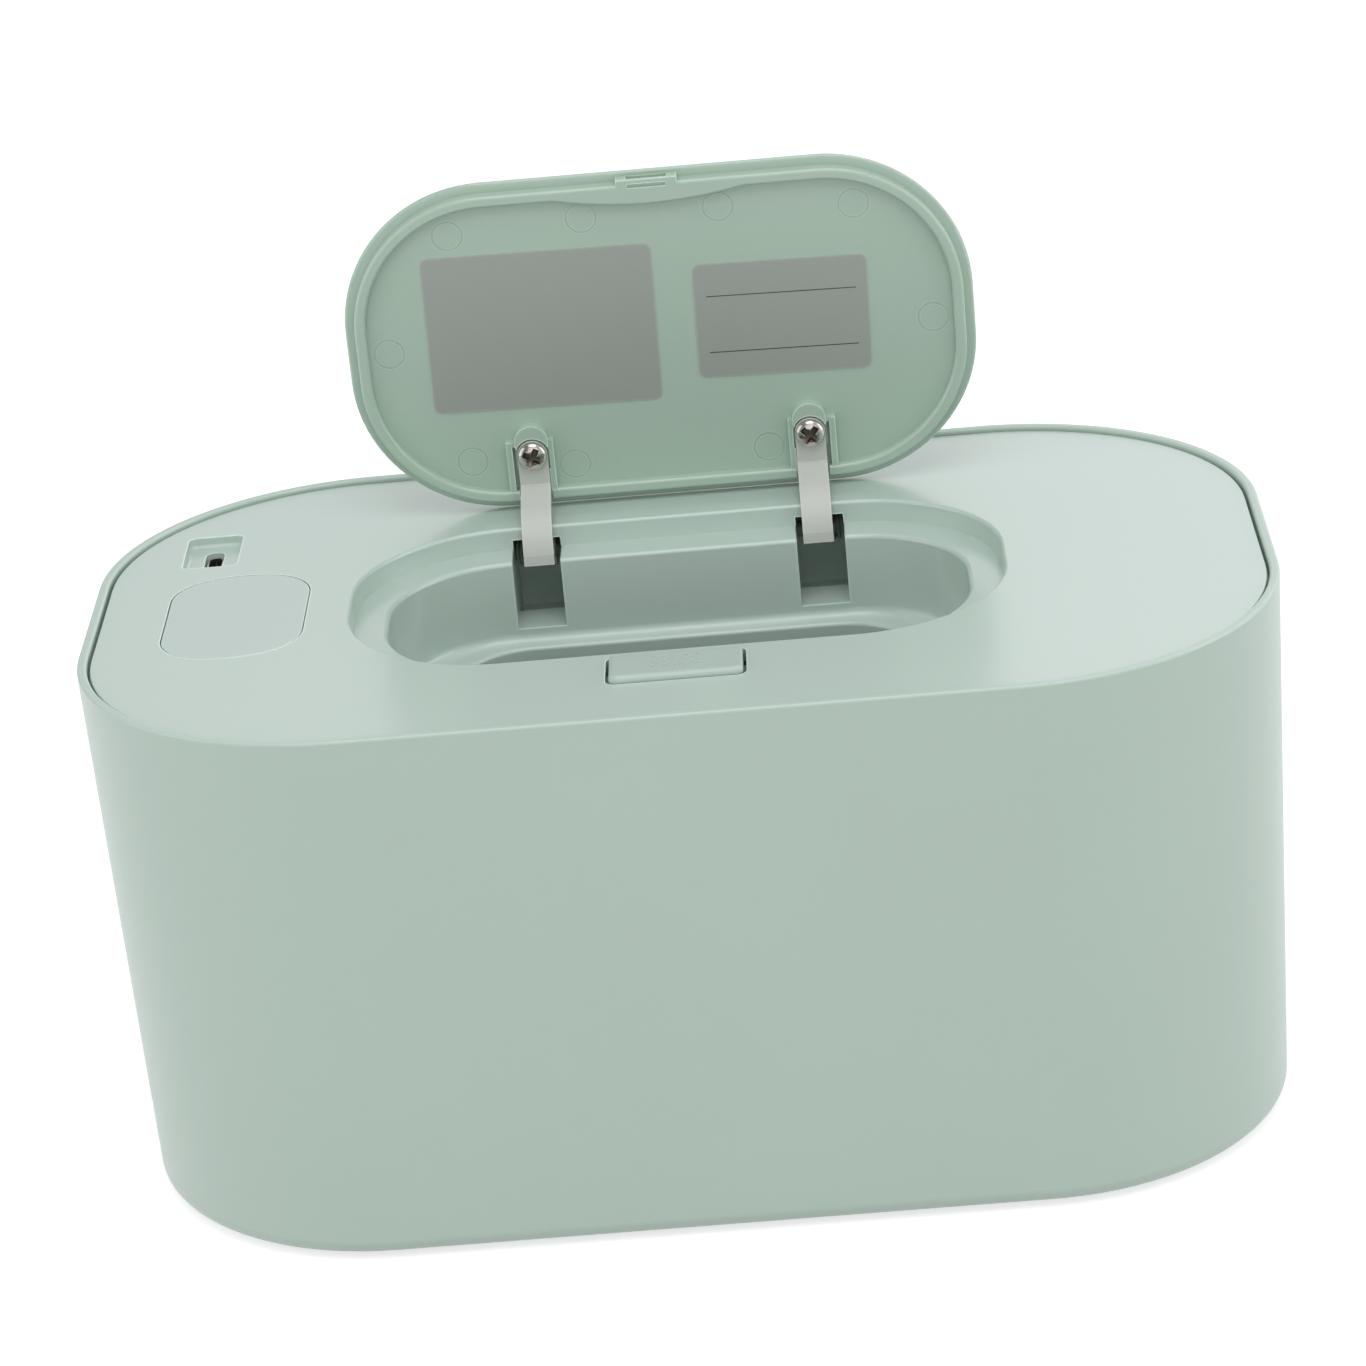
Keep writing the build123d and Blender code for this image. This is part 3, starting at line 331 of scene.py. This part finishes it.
def moulded_plastic(name, colour, roughness, mottle, grain, specks, bump, coat, edge_highlight=0.6):
    """A finish of moulded plastic; the colour is given as it should look, 0 to 255, and the
    last argument sets the painted highlight on its outward edges.
    """
    plastic = bpy.data.materials.new(name)
    plastic.use_nodes = True
    nodes = plastic.node_tree.nodes
    links = plastic.node_tree.links
    shader = nodes["Principled BSDF"]
    skin = nodes.new("ShaderNodeGroup")
    skin.node_tree = skin_group
    skin.inputs["Colour"].default_value = (*linear_light(colour), 1)
    skin.inputs["Roughness"].default_value = roughness
    skin.inputs["Mottle"].default_value = mottle
    skin.inputs["Grain"].default_value = grain
    skin.inputs["Specks"].default_value = specks
    skin.inputs["Edge Highlight"].default_value = edge_highlight
    relief = nodes.new("ShaderNodeBump")
    relief.inputs["Strength"].default_value = bump
    relief.inputs["Distance"].default_value = 0.0001
    links.new(skin.outputs["Colour"], shader.inputs["Base Color"])
    links.new(skin.outputs["Roughness"], shader.inputs["Roughness"])
    links.new(skin.outputs["Height"], relief.inputs["Height"])
    links.new(relief.outputs["Normal"], shader.inputs["Normal"])
    shader.inputs["Coat Weight"].default_value = coat
    shader.inputs["Coat Roughness"].default_value = 0.18
    return plastic


def dress(node, material):
    """Puts one finish on a solid of the frame."""
    solid = frame["nodes"][node]
    solid.data.materials.clear()
    solid.data.materials.append(material)
    return solid


# its rim and other outward edges carry a strong painted highlight in the colour
casing_finish = moulded_plastic(
    "casing_satin", (183, 201, 190),
    roughness=0.36, mottle=0.05, grain=0.4, specks=0.35, bump=0.25, coat=0.2, edge_highlight=2.8,
)
dress("casing", casing_finish)


# ---- Rubber feet ----
# Four soft dark grey discs pressed into recesses under the floor, dull and a
# little dusty.
rubber = moulded_plastic(
    "dull_rubber", (62, 64, 64),
    roughness=0.75, mottle=0.25, grain=1.0, specks=0.0, bump=0.6, coat=0.0,
)
nodes = rubber.node_tree.nodes
links = rubber.node_tree.links
place = nodes.new("ShaderNodeTexCoord")
dust = nodes.new("ShaderNodeTexNoise")
dust.inputs["Scale"].default_value = 420.0
dust.inputs["Detail"].default_value = 6.0
links.new(place.outputs["Object"], dust.inputs["Vector"])
settled = nodes.new("ShaderNodeMapRange")
settled.inputs["From Min"].default_value = 0.52
settled.inputs["From Max"].default_value = 0.72
settled.inputs["To Max"].default_value = 0.45
links.new(dust.outputs["Fac"], settled.inputs["Value"])
dusty = nodes.new("ShaderNodeMix")
dusty.data_type = "RGBA"
dust_grey = (0.24, 0.23, 0.21, 1)
dusty.inputs["B"].default_value = dust_grey
links.new(settled.outputs[0], dusty.inputs["Factor"])
links.new(nodes["Group"].outputs["Colour"], dusty.inputs["A"])
links.new(dusty.outputs["Result"], nodes["Principled BSDF"].inputs["Base Color"])
dress("rubber_feet", rubber)


# ---- Top panel ----
# The cover's plate with its well and throat, moulded in one piece: the same ABS
# from a polished mould, so it mirrors the lid softly.
# the outward edges of the well and slots carry a painted highlight in the colour
panel_finish = moulded_plastic(
    "panel_polished", (187, 204, 195),
    roughness=0.31, mottle=0.015, grain=0.15, specks=0.2, bump=0.12, coat=0.7, edge_highlight=2.6,
)
dress("top_panel", panel_finish)


# ---- Touch window ----
# A thin moulded inlay of the same plastic, set flush into the panel over the touch
# pad and the display.
# its outward edges carry a painted highlight in the colour
window_finish = moulded_plastic(
    "window_polished", (183, 199, 191),
    roughness=0.31, mottle=0.015, grain=0.1, specks=0.1, bump=0.10, coat=0.7, edge_highlight=2.2,
)
dress("touch_window", window_finish)


# ---- Power inlet ----
# A drawn steel shell, nickel plated and seated in its boss behind the slot, with a
# matt black moulded tongue that carries the contacts.
def plated_metal(name, colour, roughness, scale, streak, metallic=1.0):
    """Plated steel with fine marks from turning or drawing."""
    metal = bpy.data.materials.new(name)
    metal.use_nodes = True
    nodes = metal.node_tree.nodes
    links = metal.node_tree.links
    shader = nodes["Principled BSDF"]
    shader.inputs["Metallic"].default_value = metallic
    place = nodes.new("ShaderNodeTexCoord")
    marks = nodes.new("ShaderNodeTexNoise")
    marks.inputs["Scale"].default_value = scale
    marks.inputs["Detail"].default_value = 4.0
    links.new(place.outputs["Object"], marks.inputs["Vector"])
    dull = nodes.new("ShaderNodeMapRange")
    dull.inputs["To Min"].default_value = roughness - streak
    dull.inputs["To Max"].default_value = roughness + streak
    links.new(marks.outputs["Fac"], dull.inputs["Value"])
    links.new(dull.outputs[0], shader.inputs["Roughness"])
    # between the marks the metal shows a little darker
    low_tone = 0.86
    tone = nodes.new("ShaderNodeMix")
    tone.data_type = "RGBA"
    linear = linear_light(colour)
    tone.inputs["A"].default_value = (*[c * low_tone for c in linear], 1)
    tone.inputs["B"].default_value = (*linear, 1)
    links.new(marks.outputs["Fac"], tone.inputs["Factor"])
    links.new(tone.outputs["Result"], shader.inputs["Base Color"])
    return metal


nickel = plated_metal("nickel_plate", (214, 209, 201), roughness=0.20, scale=900.0, streak=0.06)
dress("inlet_socket", nickel)
matt_black = moulded_plastic(
    "matt_black", (26, 27, 28),
    roughness=0.55, mottle=0.08, grain=0.4, specks=0.0, bump=0.2, coat=0.0,
)
dress("inlet_tongue", matt_black)


# ---- Display block ----
# A matt black moulding under the touch window that holds the lamps apart.  It is
# the same black plastic as the inlet's tongue.
dress("display_module", matt_black)


# ---- Touch post ----
# A post of carbon-filled foam, cut from sheet and pressed between the board and
# the window: open pores, dark and dull.
foam = moulded_plastic(
    "carbon_foam", (64, 65, 66),
    roughness=0.9, mottle=0.2, grain=1.0, specks=0.0, bump=0.8, coat=0.0,
)
nodes = foam.node_tree.nodes
links = foam.node_tree.links
place = nodes.new("ShaderNodeTexCoord")
pores = nodes.new("ShaderNodeTexVoronoi")
pores.inputs["Scale"].default_value = 1500.0
links.new(place.outputs["Object"], pores.inputs["Vector"])
cell = nodes["Bump"]
cell.invert = True
cell.inputs["Distance"].default_value = 0.0004
links.new(pores.outputs["Distance"], cell.inputs["Height"])
dress("touch_electrode", foam)


# ---- Circuit board ----
# A glass-epoxy board with its parts, under green solder mask: routed tracks show
# as paler bands under the mask, and bare tinned pads dot the surface.
route_green = (0.030, 0.190, 0.085, 1)
pad_tin = (0.55, 0.54, 0.50, 1)
pad_share = 0.16
board_finish = moulded_plastic(
    "solder_mask", (28, 92, 56),
    roughness=0.32, mottle=0.10, grain=0.2, specks=0.0, bump=0.1, coat=0.2,
)
nodes = board_finish.node_tree.nodes
links = board_finish.node_tree.links
place = nodes.new("ShaderNodeTexCoord")
routes = nodes.new("ShaderNodeTexBrick")
routes.inputs["Scale"].default_value = 100.0
routes.inputs["Mortar Size"].default_value = 0.03
routes.inputs["Brick Width"].default_value = 0.9
routes.inputs["Row Height"].default_value = 0.16
links.new(place.outputs["Object"], routes.inputs["Vector"])
route_tone = nodes.new("ShaderNodeMix")
route_tone.data_type = "RGBA"
route_tone.inputs["B"].default_value = route_green
links.new(routes.outputs["Fac"], route_tone.inputs["Factor"])
links.new(nodes["Group"].outputs["Colour"], route_tone.inputs["A"])
lands = nodes.new("ShaderNodeTexVoronoi")
lands.distance = "CHEBYCHEV"
lands.inputs["Scale"].default_value = 260.0
links.new(place.outputs["Object"], lands.inputs["Vector"])
land = nodes.new("ShaderNodeMath")
land.operation = "LESS_THAN"
land.inputs[1].default_value = pad_share
links.new(lands.outputs["Distance"], land.inputs[0])
land_tone = nodes.new("ShaderNodeMix")
land_tone.data_type = "RGBA"
land_tone.inputs["B"].default_value = pad_tin
links.new(land.outputs[0], land_tone.inputs["Factor"])
links.new(route_tone.outputs["Result"], land_tone.inputs["A"])
links.new(land_tone.outputs["Result"], nodes["Principled BSDF"].inputs["Base Color"])
links.new(land.outputs[0], nodes["Principled BSDF"].inputs["Metallic"])
dress("circuit_board", board_finish)


# ---- Release button ----
# A hollow ABS cap with rounded edges and a field of tiny raised dots for the
# finger.  Its two inclined blades reach down into the latch slider.
# the outward edges of the cap and its dots carry a painted highlight in the colour
button_finish = moulded_plastic(
    "button_satin", (179, 195, 187),
    roughness=0.32, mottle=0.03, grain=0.2, specks=0.1, bump=0.15, coat=0.2, edge_highlight=1.0,
)
dress("release_button", button_finish)


# ---- Latch slider and cage ----
# The nose plate that holds the lid shut and the bracket that guides it, both plain
# off-white acetal, slippery and unpainted.
latch_finish = moulded_plastic(
    "latch_acetal", (222, 222, 216),
    roughness=0.40, mottle=0.04, grain=0.3, specks=0.0, bump=0.2, coat=0.0,
)
dress("latch_slider", latch_finish)
dress("button_cage", latch_finish)


# ---- Button spring ----
# The return spring under the button: drawn steel wire, coiled with closed ends,
# dropped over the cage's peg, and built at one length.
coil_low, coil_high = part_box("button_spring")
coil_wire = 0.00035
wire_sides = 12
coil_radius = (coil_high[0] - coil_low[0]) / 2 - coil_wire
coil_height = coil_high[2] - coil_low[2] - 2 * coil_wire
coil_turns = 7
coil_steps = 32
closed_pitch = 0.00072
open_pitch = (coil_height - 2 * closed_pitch) / (coil_turns - 2)
drawn_wire = plated_metal(
    "spring_wire", (170, 169, 165), roughness=0.36, scale=2500.0, streak=0.06
)
bpy.ops.object.select_all(action="DESELECT")
bpy.ops.mesh.primitive_circle_add(vertices=wire_sides, radius=coil_wire)
coil = bpy.context.object
coil.name = "button_coil_spring"
bpy.ops.object.mode_set(mode="EDIT")
bpy.ops.mesh.select_all(action="SELECT")
bpy.ops.transform.rotate(
    value=math.radians(90), orient_axis="X", center_override=(0, 0, 0)
)
bpy.ops.transform.translate(value=(coil_radius, 0, 0))
bpy.ops.object.mode_set(mode="OBJECT")
wind = coil.modifiers.new("wind", "SCREW")
wind.iterations = coil_turns
wind.screw_offset = open_pitch
wind.steps = coil_steps
wind.render_steps = coil_steps
bpy.ops.object.modifier_apply(modifier=wind.name)
# the first and last turns lie against their neighbours
for v in coil.data.vertices:
    turns_up = (v.index // wire_sides) / coil_steps
    closed = min(turns_up, 1.0) + max(turns_up - (coil_turns - 1), 0.0)
    v.co.z -= closed * (open_pitch - closed_pitch)
bpy.ops.object.mode_set(mode="EDIT")
bpy.ops.mesh.select_mode(type="EDGE")
bpy.ops.mesh.select_all(action="DESELECT")
bpy.ops.mesh.select_non_manifold()
bpy.ops.mesh.edge_face_add()
bpy.ops.mesh.select_all(action="SELECT")
bpy.ops.mesh.normals_make_consistent(inside=False)
bpy.ops.object.mode_set(mode="OBJECT")
coil_foot = Vector((
    (coil_low[0] + coil_high[0]) / 2,
    (coil_low[1] + coil_high[1]) / 2,
    coil_low[2] + coil_wire,
))
coil.data.transform(Matrix.Translation(coil_foot))
coil.data.materials.append(drawn_wire)
bpy.ops.object.shade_smooth_by_angle(angle=math.radians(50))
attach(coil, "cover")
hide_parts("button_spring")
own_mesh(coil)


# ---- Hinge pins and springs ----
# Two ground steel pins pressed into the panel's pockets, with a torsion spring of
# drawn wire beside each arm.  Their pale olive grey is painted: it copies the green
# shade of the plastic pockets they sit in.
pocket_shade_steel = plated_metal(
    "pocket_shade_tinted_steel", (150, 164, 152),
    roughness=0.50, scale=1500.0, streak=0.06, metallic=0.3,
)
for node in ("hinge_pin_left", "hinge_pin_right", "hinge_spring_left", "hinge_spring_right"):
    dress(node, pocket_shade_steel)


# ---- Hinge arms ----
# Two goosenecks of off-white acetal that turn on the pins and carry the lid, matt
# and slightly waxy as they come from the mould.
arm_finish = moulded_plastic(
    "arm_acetal", (193, 197, 190),
    roughness=0.45, mottle=0.04, grain=0.4, specks=0.0, bump=0.2, coat=0.05,
)
dress("hinge_arm_left", arm_finish)
dress("hinge_arm_right", arm_finish)


# ---- Lid ----
# The oval flap, moulded in satin plastic with a raised lip, a crescent behind the
# catch and the shallow round marks of the mould's ejector pins.
# the outward edges of the lip and crescent carry a painted highlight in the colour
lid_finish = moulded_plastic(
    "lid_satin", (172, 193, 177),
    roughness=0.32, mottle=0.04, grain=0.3, specks=0.2, bump=0.18, coat=0.5, edge_highlight=2.0,
)
dress("lid", lid_finish)


# ---- Arm screws ----
# Two nickel-plated pan-head screws that hold the arms to the lid's bosses: headed,
# cross-punched and thread rolled.  The recess is coloured darker as painted shade.
screw_x = 0.0269
screw_reach = 0.01875
seat_rise = 0.00305
head_radius = 0.0028
head_height = 0.0018
head_sides = 48
rim_height = head_height * 0.45
dome_rings = ((0.00016, 0.0003), (0.0004, 0.0003), (0.0007, 0.00022), (0.0007, 0.0001))
shank_radius = 0.0012
shank_length = 0.0033
thread_ridges = 5
thread_waist = 0.82
level_face = 0.9
recess_depth = head_height * 0.62
recess_half = 0.0030
recess_width = 0.0016
point_length = 0.45
point_width = 0.6
left_turn, right_turn = math.radians(28), math.radians(42)
sliver = 0.00001
edge_width = 0.00006
lid_turn = math.radians(-86.5)
joints = frame["record"]["behaviour"]["joints"]
pivot = next(joint for joint in joints if joint["name"] == "lid_hinge")["pos_m"]
# the recess is coloured darker as painted shade
recess_painted_shade = plated_metal(
    "recess_shadow", (132, 120, 110), roughness=0.36, scale=1800.0, streak=0.06
)


def select_faces(mesh, keep):
    """Selects the faces whose centre and normal pass a test, in edit mode."""
    bpy.ops.mesh.select_all(action="DESELECT")
    bpy.ops.object.mode_set(mode="OBJECT")
    for face in mesh.polygons:
        face.select = keep(face.center, face.normal)
    bpy.ops.object.mode_set(mode="EDIT")


def make_arm_screw(side):
    """One screw, head down and driven up into the boss of one arm."""
    bpy.ops.object.select_all(action="DESELECT")
    bpy.ops.mesh.primitive_cylinder_add(
        vertices=head_sides, radius=head_radius, depth=rim_height
    )
    screw = bpy.context.object
    screw.name = "arm_screw_left" if side < 0 else "arm_screw_right"
    mesh = screw.data
    mesh.materials.append(nickel)
    mesh.materials.append(recess_painted_shade)
    bpy.ops.object.mode_set(mode="EDIT")
    bpy.ops.mesh.select_mode(type="FACE")
    # the domed pan, drawn in ring by ring below the rim
    for draw_in, drop in dome_rings:
        lowest = min(v.co.z for v in mesh.vertices)
        select_faces(mesh, lambda c, n: n.z < -level_face and c.z < lowest + sliver)
        bpy.ops.mesh.extrude_region_move(TRANSFORM_OT_translate={"value": (0, 0, -drop)})
        bpy.ops.object.mode_set(mode="OBJECT")
        lowest = min(v.co.z for v in mesh.vertices)
        bpy.ops.object.mode_set(mode="EDIT")
        select_faces(mesh, lambda c, n: n.z < -level_face and c.z < lowest + sliver)
        here = max(
            math.hypot(v.co.x, v.co.y) for v in mesh.vertices if v.co.z < lowest + sliver
        )
        shrink = (here - draw_in) / here
        bpy.ops.transform.resize(value=(shrink, shrink, 1))
    # the shank, drawn out of the seat side, with rolled ridges
    select_faces(mesh, lambda c, n: n.z > level_face)
    bpy.ops.mesh.inset(thickness=head_radius - shank_radius)
    ring_step = shank_length / (3 * thread_ridges)
    for ridge in range(thread_ridges):
        for grow in (1.0, thread_waist, 1.0 / thread_waist):
            bpy.ops.mesh.extrude_region_move(
                TRANSFORM_OT_translate={"value": (0, 0, ring_step)}
            )
            bpy.ops.transform.resize(value=(grow, grow, 1))
    bpy.ops.object.mode_set(mode="OBJECT")
    # the cross recess, punched by two tapered blades, which pass their painted-shade colour on
    # to its faces
    recess_turn = left_turn if side < 0 else right_turn
    foot = min(v.co.z for v in mesh.vertices)
    for quarter in (0.0, math.pi / 2):
        bpy.ops.mesh.primitive_cube_add(size=1)
        blade = bpy.context.object
        blade.data.materials.append(recess_painted_shade)
        blade.scale = (recess_half * 2, recess_width, recess_depth * 2)
        blade.rotation_euler = (0, 0, quarter + recess_turn)
        blade.location = (0, 0, foot)
        bpy.ops.object.transform_apply(location=False, rotation=False, scale=True)
        for v in blade.data.vertices:
            if v.co.z > 0:
                v.co.x *= point_length
                v.co.y *= point_width
        cut = screw.modifiers.new("recess", "BOOLEAN")
        cut.operation = "DIFFERENCE"
        cut.solver = "EXACT"
        cut.material_mode = "TRANSFER"
        cut.object = blade
        bpy.context.view_layer.objects.active = screw
        bpy.ops.object.modifier_apply(modifier=cut.name)
        bpy.data.objects.remove(blade, do_unlink=True)
    # slivers left by the punch are merged away before the edges are eased
    bpy.ops.object.mode_set(mode="EDIT")
    bpy.ops.mesh.select_all(action="SELECT")
    bpy.ops.mesh.remove_doubles(threshold=sliver)
    bpy.ops.mesh.dissolve_degenerate(threshold=sliver)
    bpy.ops.object.mode_set(mode="OBJECT")
    soft = screw.modifiers.new("soft_edges", "BEVEL")
    soft.width = edge_width
    soft.segments = 2
    soft.limit_method = "ANGLE"
    soft.angle_limit = math.radians(40)
    bpy.ops.object.modifier_apply(modifier=soft.name)
    # seated in the boss, and turned up about the pins with the open lid
    seat = Vector((side * screw_x, -screw_reach, seat_rise - rim_height / 2))
    opened = Matrix.Translation(Vector(pivot)) @ Matrix.Rotation(lid_turn, 4, "X")
    mesh.transform(opened @ Matrix.Translation(seat))
    bpy.ops.object.select_all(action="DESELECT")
    screw.select_set(True)
    bpy.context.view_layer.objects.active = screw
    bpy.ops.object.shade_smooth_by_angle(angle=math.radians(35))
    return screw


for side in (-1, 1):
    arm_screw = make_arm_screw(side)
    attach(arm_screw, "lid")
    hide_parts("arm_screws")


# ---- Stickers ----
# Two blank silver-grey film stickers on the lid's inside, satin, die cut with
# rounded corners.  The small one keeps two plain printed rules and nothing else.
rule_along = (0.99981, -0.0038, -0.0195)
rule_across = (0.0192, -0.0610, 0.9979)
rule_middle = 0.02063
rule_half_length = 0.0143
rule_half_width = 0.0001
rule_heights = (0.14132, 0.12983)
rule_grey = (0.035, 0.038, 0.036, 1)
film = moulded_plastic(
    "sticker_film", (159, 163, 157),
    roughness=0.36, mottle=0.03, grain=0.2, specks=0.0, bump=0.1, coat=0.2,
)
film_sheen = 0.12
film.node_tree.nodes["Principled BSDF"].inputs["Metallic"].default_value = film_sheen
dress("label_large", film)
ruled_film = film.copy()
ruled_film.name = "sticker_film_ruled"
nodes = ruled_film.node_tree.nodes
links = ruled_film.node_tree.links
place = nodes.new("ShaderNodeTexCoord")
along = nodes.new("ShaderNodeVectorMath")
along.operation = "DOT_PRODUCT"
along.inputs[1].default_value = rule_along
across = nodes.new("ShaderNodeVectorMath")
across.operation = "DOT_PRODUCT"
across.inputs[1].default_value = rule_across
links.new(place.outputs["Object"], along.inputs[0])
links.new(place.outputs["Object"], across.inputs[0])
within = nodes.new("ShaderNodeMath")
within.operation = "COMPARE"
within.inputs[1].default_value = rule_middle
within.inputs[2].default_value = rule_half_length
links.new(along.outputs["Value"], within.inputs[0])
either_rule = nodes.new("ShaderNodeMath")
either_rule.operation = "MAXIMUM"
for slot, height in enumerate(rule_heights):
    rule = nodes.new("ShaderNodeMath")
    rule.operation = "COMPARE"
    rule.inputs[1].default_value = height
    rule.inputs[2].default_value = rule_half_width
    links.new(across.outputs["Value"], rule.inputs[0])
    links.new(rule.outputs[0], either_rule.inputs[slot])
printed = nodes.new("ShaderNodeMath")
printed.operation = "MULTIPLY"
links.new(either_rule.outputs[0], printed.inputs[0])
links.new(within.outputs[0], printed.inputs[1])
ink = nodes.new("ShaderNodeMix")
ink.data_type = "RGBA"
ink.inputs["B"].default_value = rule_grey
links.new(printed.outputs[0], ink.inputs["Factor"])
links.new(nodes["Group"].outputs["Colour"], ink.inputs["A"])
links.new(ink.outputs["Result"], nodes["Principled BSDF"].inputs["Base Color"])
dress("label_small", ruled_film)


# ---- Insulation pad ----
# Needled white felt, cut to shape and laid over the heater: loose fibres in every
# direction, some of them darker, with a soft uneven top.
felt = moulded_plastic(
    "white_felt", (224, 223, 216),
    roughness=0.95, mottle=0.12, grain=1.0, specks=0.0, bump=0.9, coat=0.0,
)
nodes = felt.node_tree.nodes
links = felt.node_tree.links
place = nodes.new("ShaderNodeTexCoord")
swirl = nodes.new("ShaderNodeTexNoise")
swirl.inputs["Scale"].default_value = 180.0
swirl.inputs["Detail"].default_value = 2.0
links.new(place.outputs["Object"], swirl.inputs["Vector"])
comb = nodes.new("ShaderNodeVectorMath")
comb.operation = "MULTIPLY_ADD"
swirl_reach = 0.02
comb.inputs[1].default_value = (swirl_reach, swirl_reach, swirl_reach)
links.new(swirl.outputs["Color"], comb.inputs[0])
links.new(place.outputs["Object"], comb.inputs[2])
fibre = nodes.new("ShaderNodeTexWave")
fibre.inputs["Scale"].default_value = 700.0
fibre.inputs["Distortion"].default_value = 9.0
fibre.inputs["Detail"].default_value = 3.0
links.new(comb.outputs[0], fibre.inputs["Vector"])
nap = nodes["Bump"]
nap.inputs["Distance"].default_value = 0.0003
links.new(fibre.outputs["Fac"], nap.inputs["Height"])
fibre_shade = nodes.new("ShaderNodeMapRange")
fibre_shade.inputs["To Min"].default_value = 0.80
fibre_shade.inputs["To Max"].default_value = 1.0
links.new(fibre.outputs["Fac"], fibre_shade.inputs["Value"])
felt_tone = nodes.new("ShaderNodeVectorMath")
felt_tone.operation = "SCALE"
links.new(nodes["Group"].outputs["Colour"], felt_tone.inputs[0])
links.new(fibre_shade.outputs[0], felt_tone.inputs["Scale"])
links.new(felt_tone.outputs[0], nodes["Principled BSDF"].inputs["Base Color"])
dress("insulation_pad", felt)


# ---- Heater foil ----
# An etched resistance track between two amber polyimide films; the tracks run
# round the throat in rings 3.2 mm apart and show darker through the film.
track_core = 0.044
track_pitch = 0.0032
track_share = 0.55
track_brown = (0.155, 0.062, 0.022, 1)
amber = moulded_plastic(
    "amber_film", (196, 132, 58),
    roughness=0.32, mottle=0.12, grain=0.2, specks=0.0, bump=0.1, coat=0.3,
)
nodes = amber.node_tree.nodes
links = amber.node_tree.links
place = nodes.new("ShaderNodeTexCoord")
parts = nodes.new("ShaderNodeSeparateXYZ")
links.new(place.outputs["Object"], parts.inputs[0])
side_way = nodes.new("ShaderNodeMath")
side_way.operation = "ABSOLUTE"
links.new(parts.outputs["X"], side_way.inputs[0])
past_core = nodes.new("ShaderNodeMath")
past_core.operation = "SUBTRACT"
past_core.use_clamp = True
past_core.inputs[1].default_value = track_core
links.new(side_way.outputs[0], past_core.inputs[0])
spoke = nodes.new("ShaderNodeCombineXYZ")
links.new(past_core.outputs[0], spoke.inputs["X"])
links.new(parts.outputs["Y"], spoke.inputs["Y"])
ring = nodes.new("ShaderNodeVectorMath")
ring.operation = "LENGTH"
links.new(spoke.outputs[0], ring.inputs[0])
turn_number = nodes.new("ShaderNodeMath")
turn_number.operation = "DIVIDE"
turn_number.inputs[1].default_value = track_pitch
links.new(ring.outputs["Value"], turn_number.inputs[0])
phase = nodes.new("ShaderNodeMath")
phase.operation = "FRACT"
links.new(turn_number.outputs[0], phase.inputs[0])
track = nodes.new("ShaderNodeMath")
track.operation = "LESS_THAN"
track.inputs[1].default_value = track_share
links.new(phase.outputs[0], track.inputs[0])
track_tone = nodes.new("ShaderNodeMix")
track_tone.data_type = "RGBA"
track_tone.inputs["B"].default_value = track_brown
links.new(track.outputs[0], track_tone.inputs["Factor"])
links.new(nodes["Group"].outputs["Colour"], track_tone.inputs["A"])
links.new(track_tone.outputs["Result"], nodes["Principled BSDF"].inputs["Base Color"])
dress("heater_foil", amber)


# ---- Sensor and cut-out ----
# A bead of black resin with the sensor in it and a small moulded thermal cut-out,
# both glued to the foil.
resin = moulded_plastic(
    "black_resin", (34, 35, 36),
    roughness=0.35, mottle=0.10, grain=0.4, specks=0.0, bump=0.2, coat=0.1,
)
dress("temperature_sensor", resin)
dress("thermal_cutout", resin)


# ---- Leads ----
# Stranded wire in red silicone sleeve, soldered to the foil and the sensor and led
# to the board.
red_sleeve = moulded_plastic(
    "red_sleeve", (176, 46, 36),
    roughness=0.40, mottle=0.06, grain=0.3, specks=0.0, bump=0.1, coat=0.1,
)
dress("heater_leads", red_sleeve)
dress("sensor_leads", red_sleeve)


# ---- Heater spreader ----
# A stamped sheet of mill-finish aluminium that lies on the tray under the foil and
# spreads its heat, with the marks of rolling.
spreader = plated_metal(
    "mill_aluminium", (196, 198, 200), roughness=0.38, scale=260.0, streak=0.08
)
dress("heater_plate", spreader)


# ---- Under tray ----
# The off-white moulding that closes the cover from below.  It only shows from
# underneath or when the cover is off.
tray_finish = moulded_plastic(
    "tray_white", (205, 208, 203),
    roughness=0.42, mottle=0.05, grain=0.4, specks=0.1, bump=0.2, coat=0.05,
)
dress("under_tray", tray_finish)


# ---- Fixing screws ----
# Nickel-plated thread-forming screws from below: four hold the board, two the
# latch cage and five the tray.
for node in ("board_screws", "cage_screws", "tray_screws"):
    dress(node, nickel)
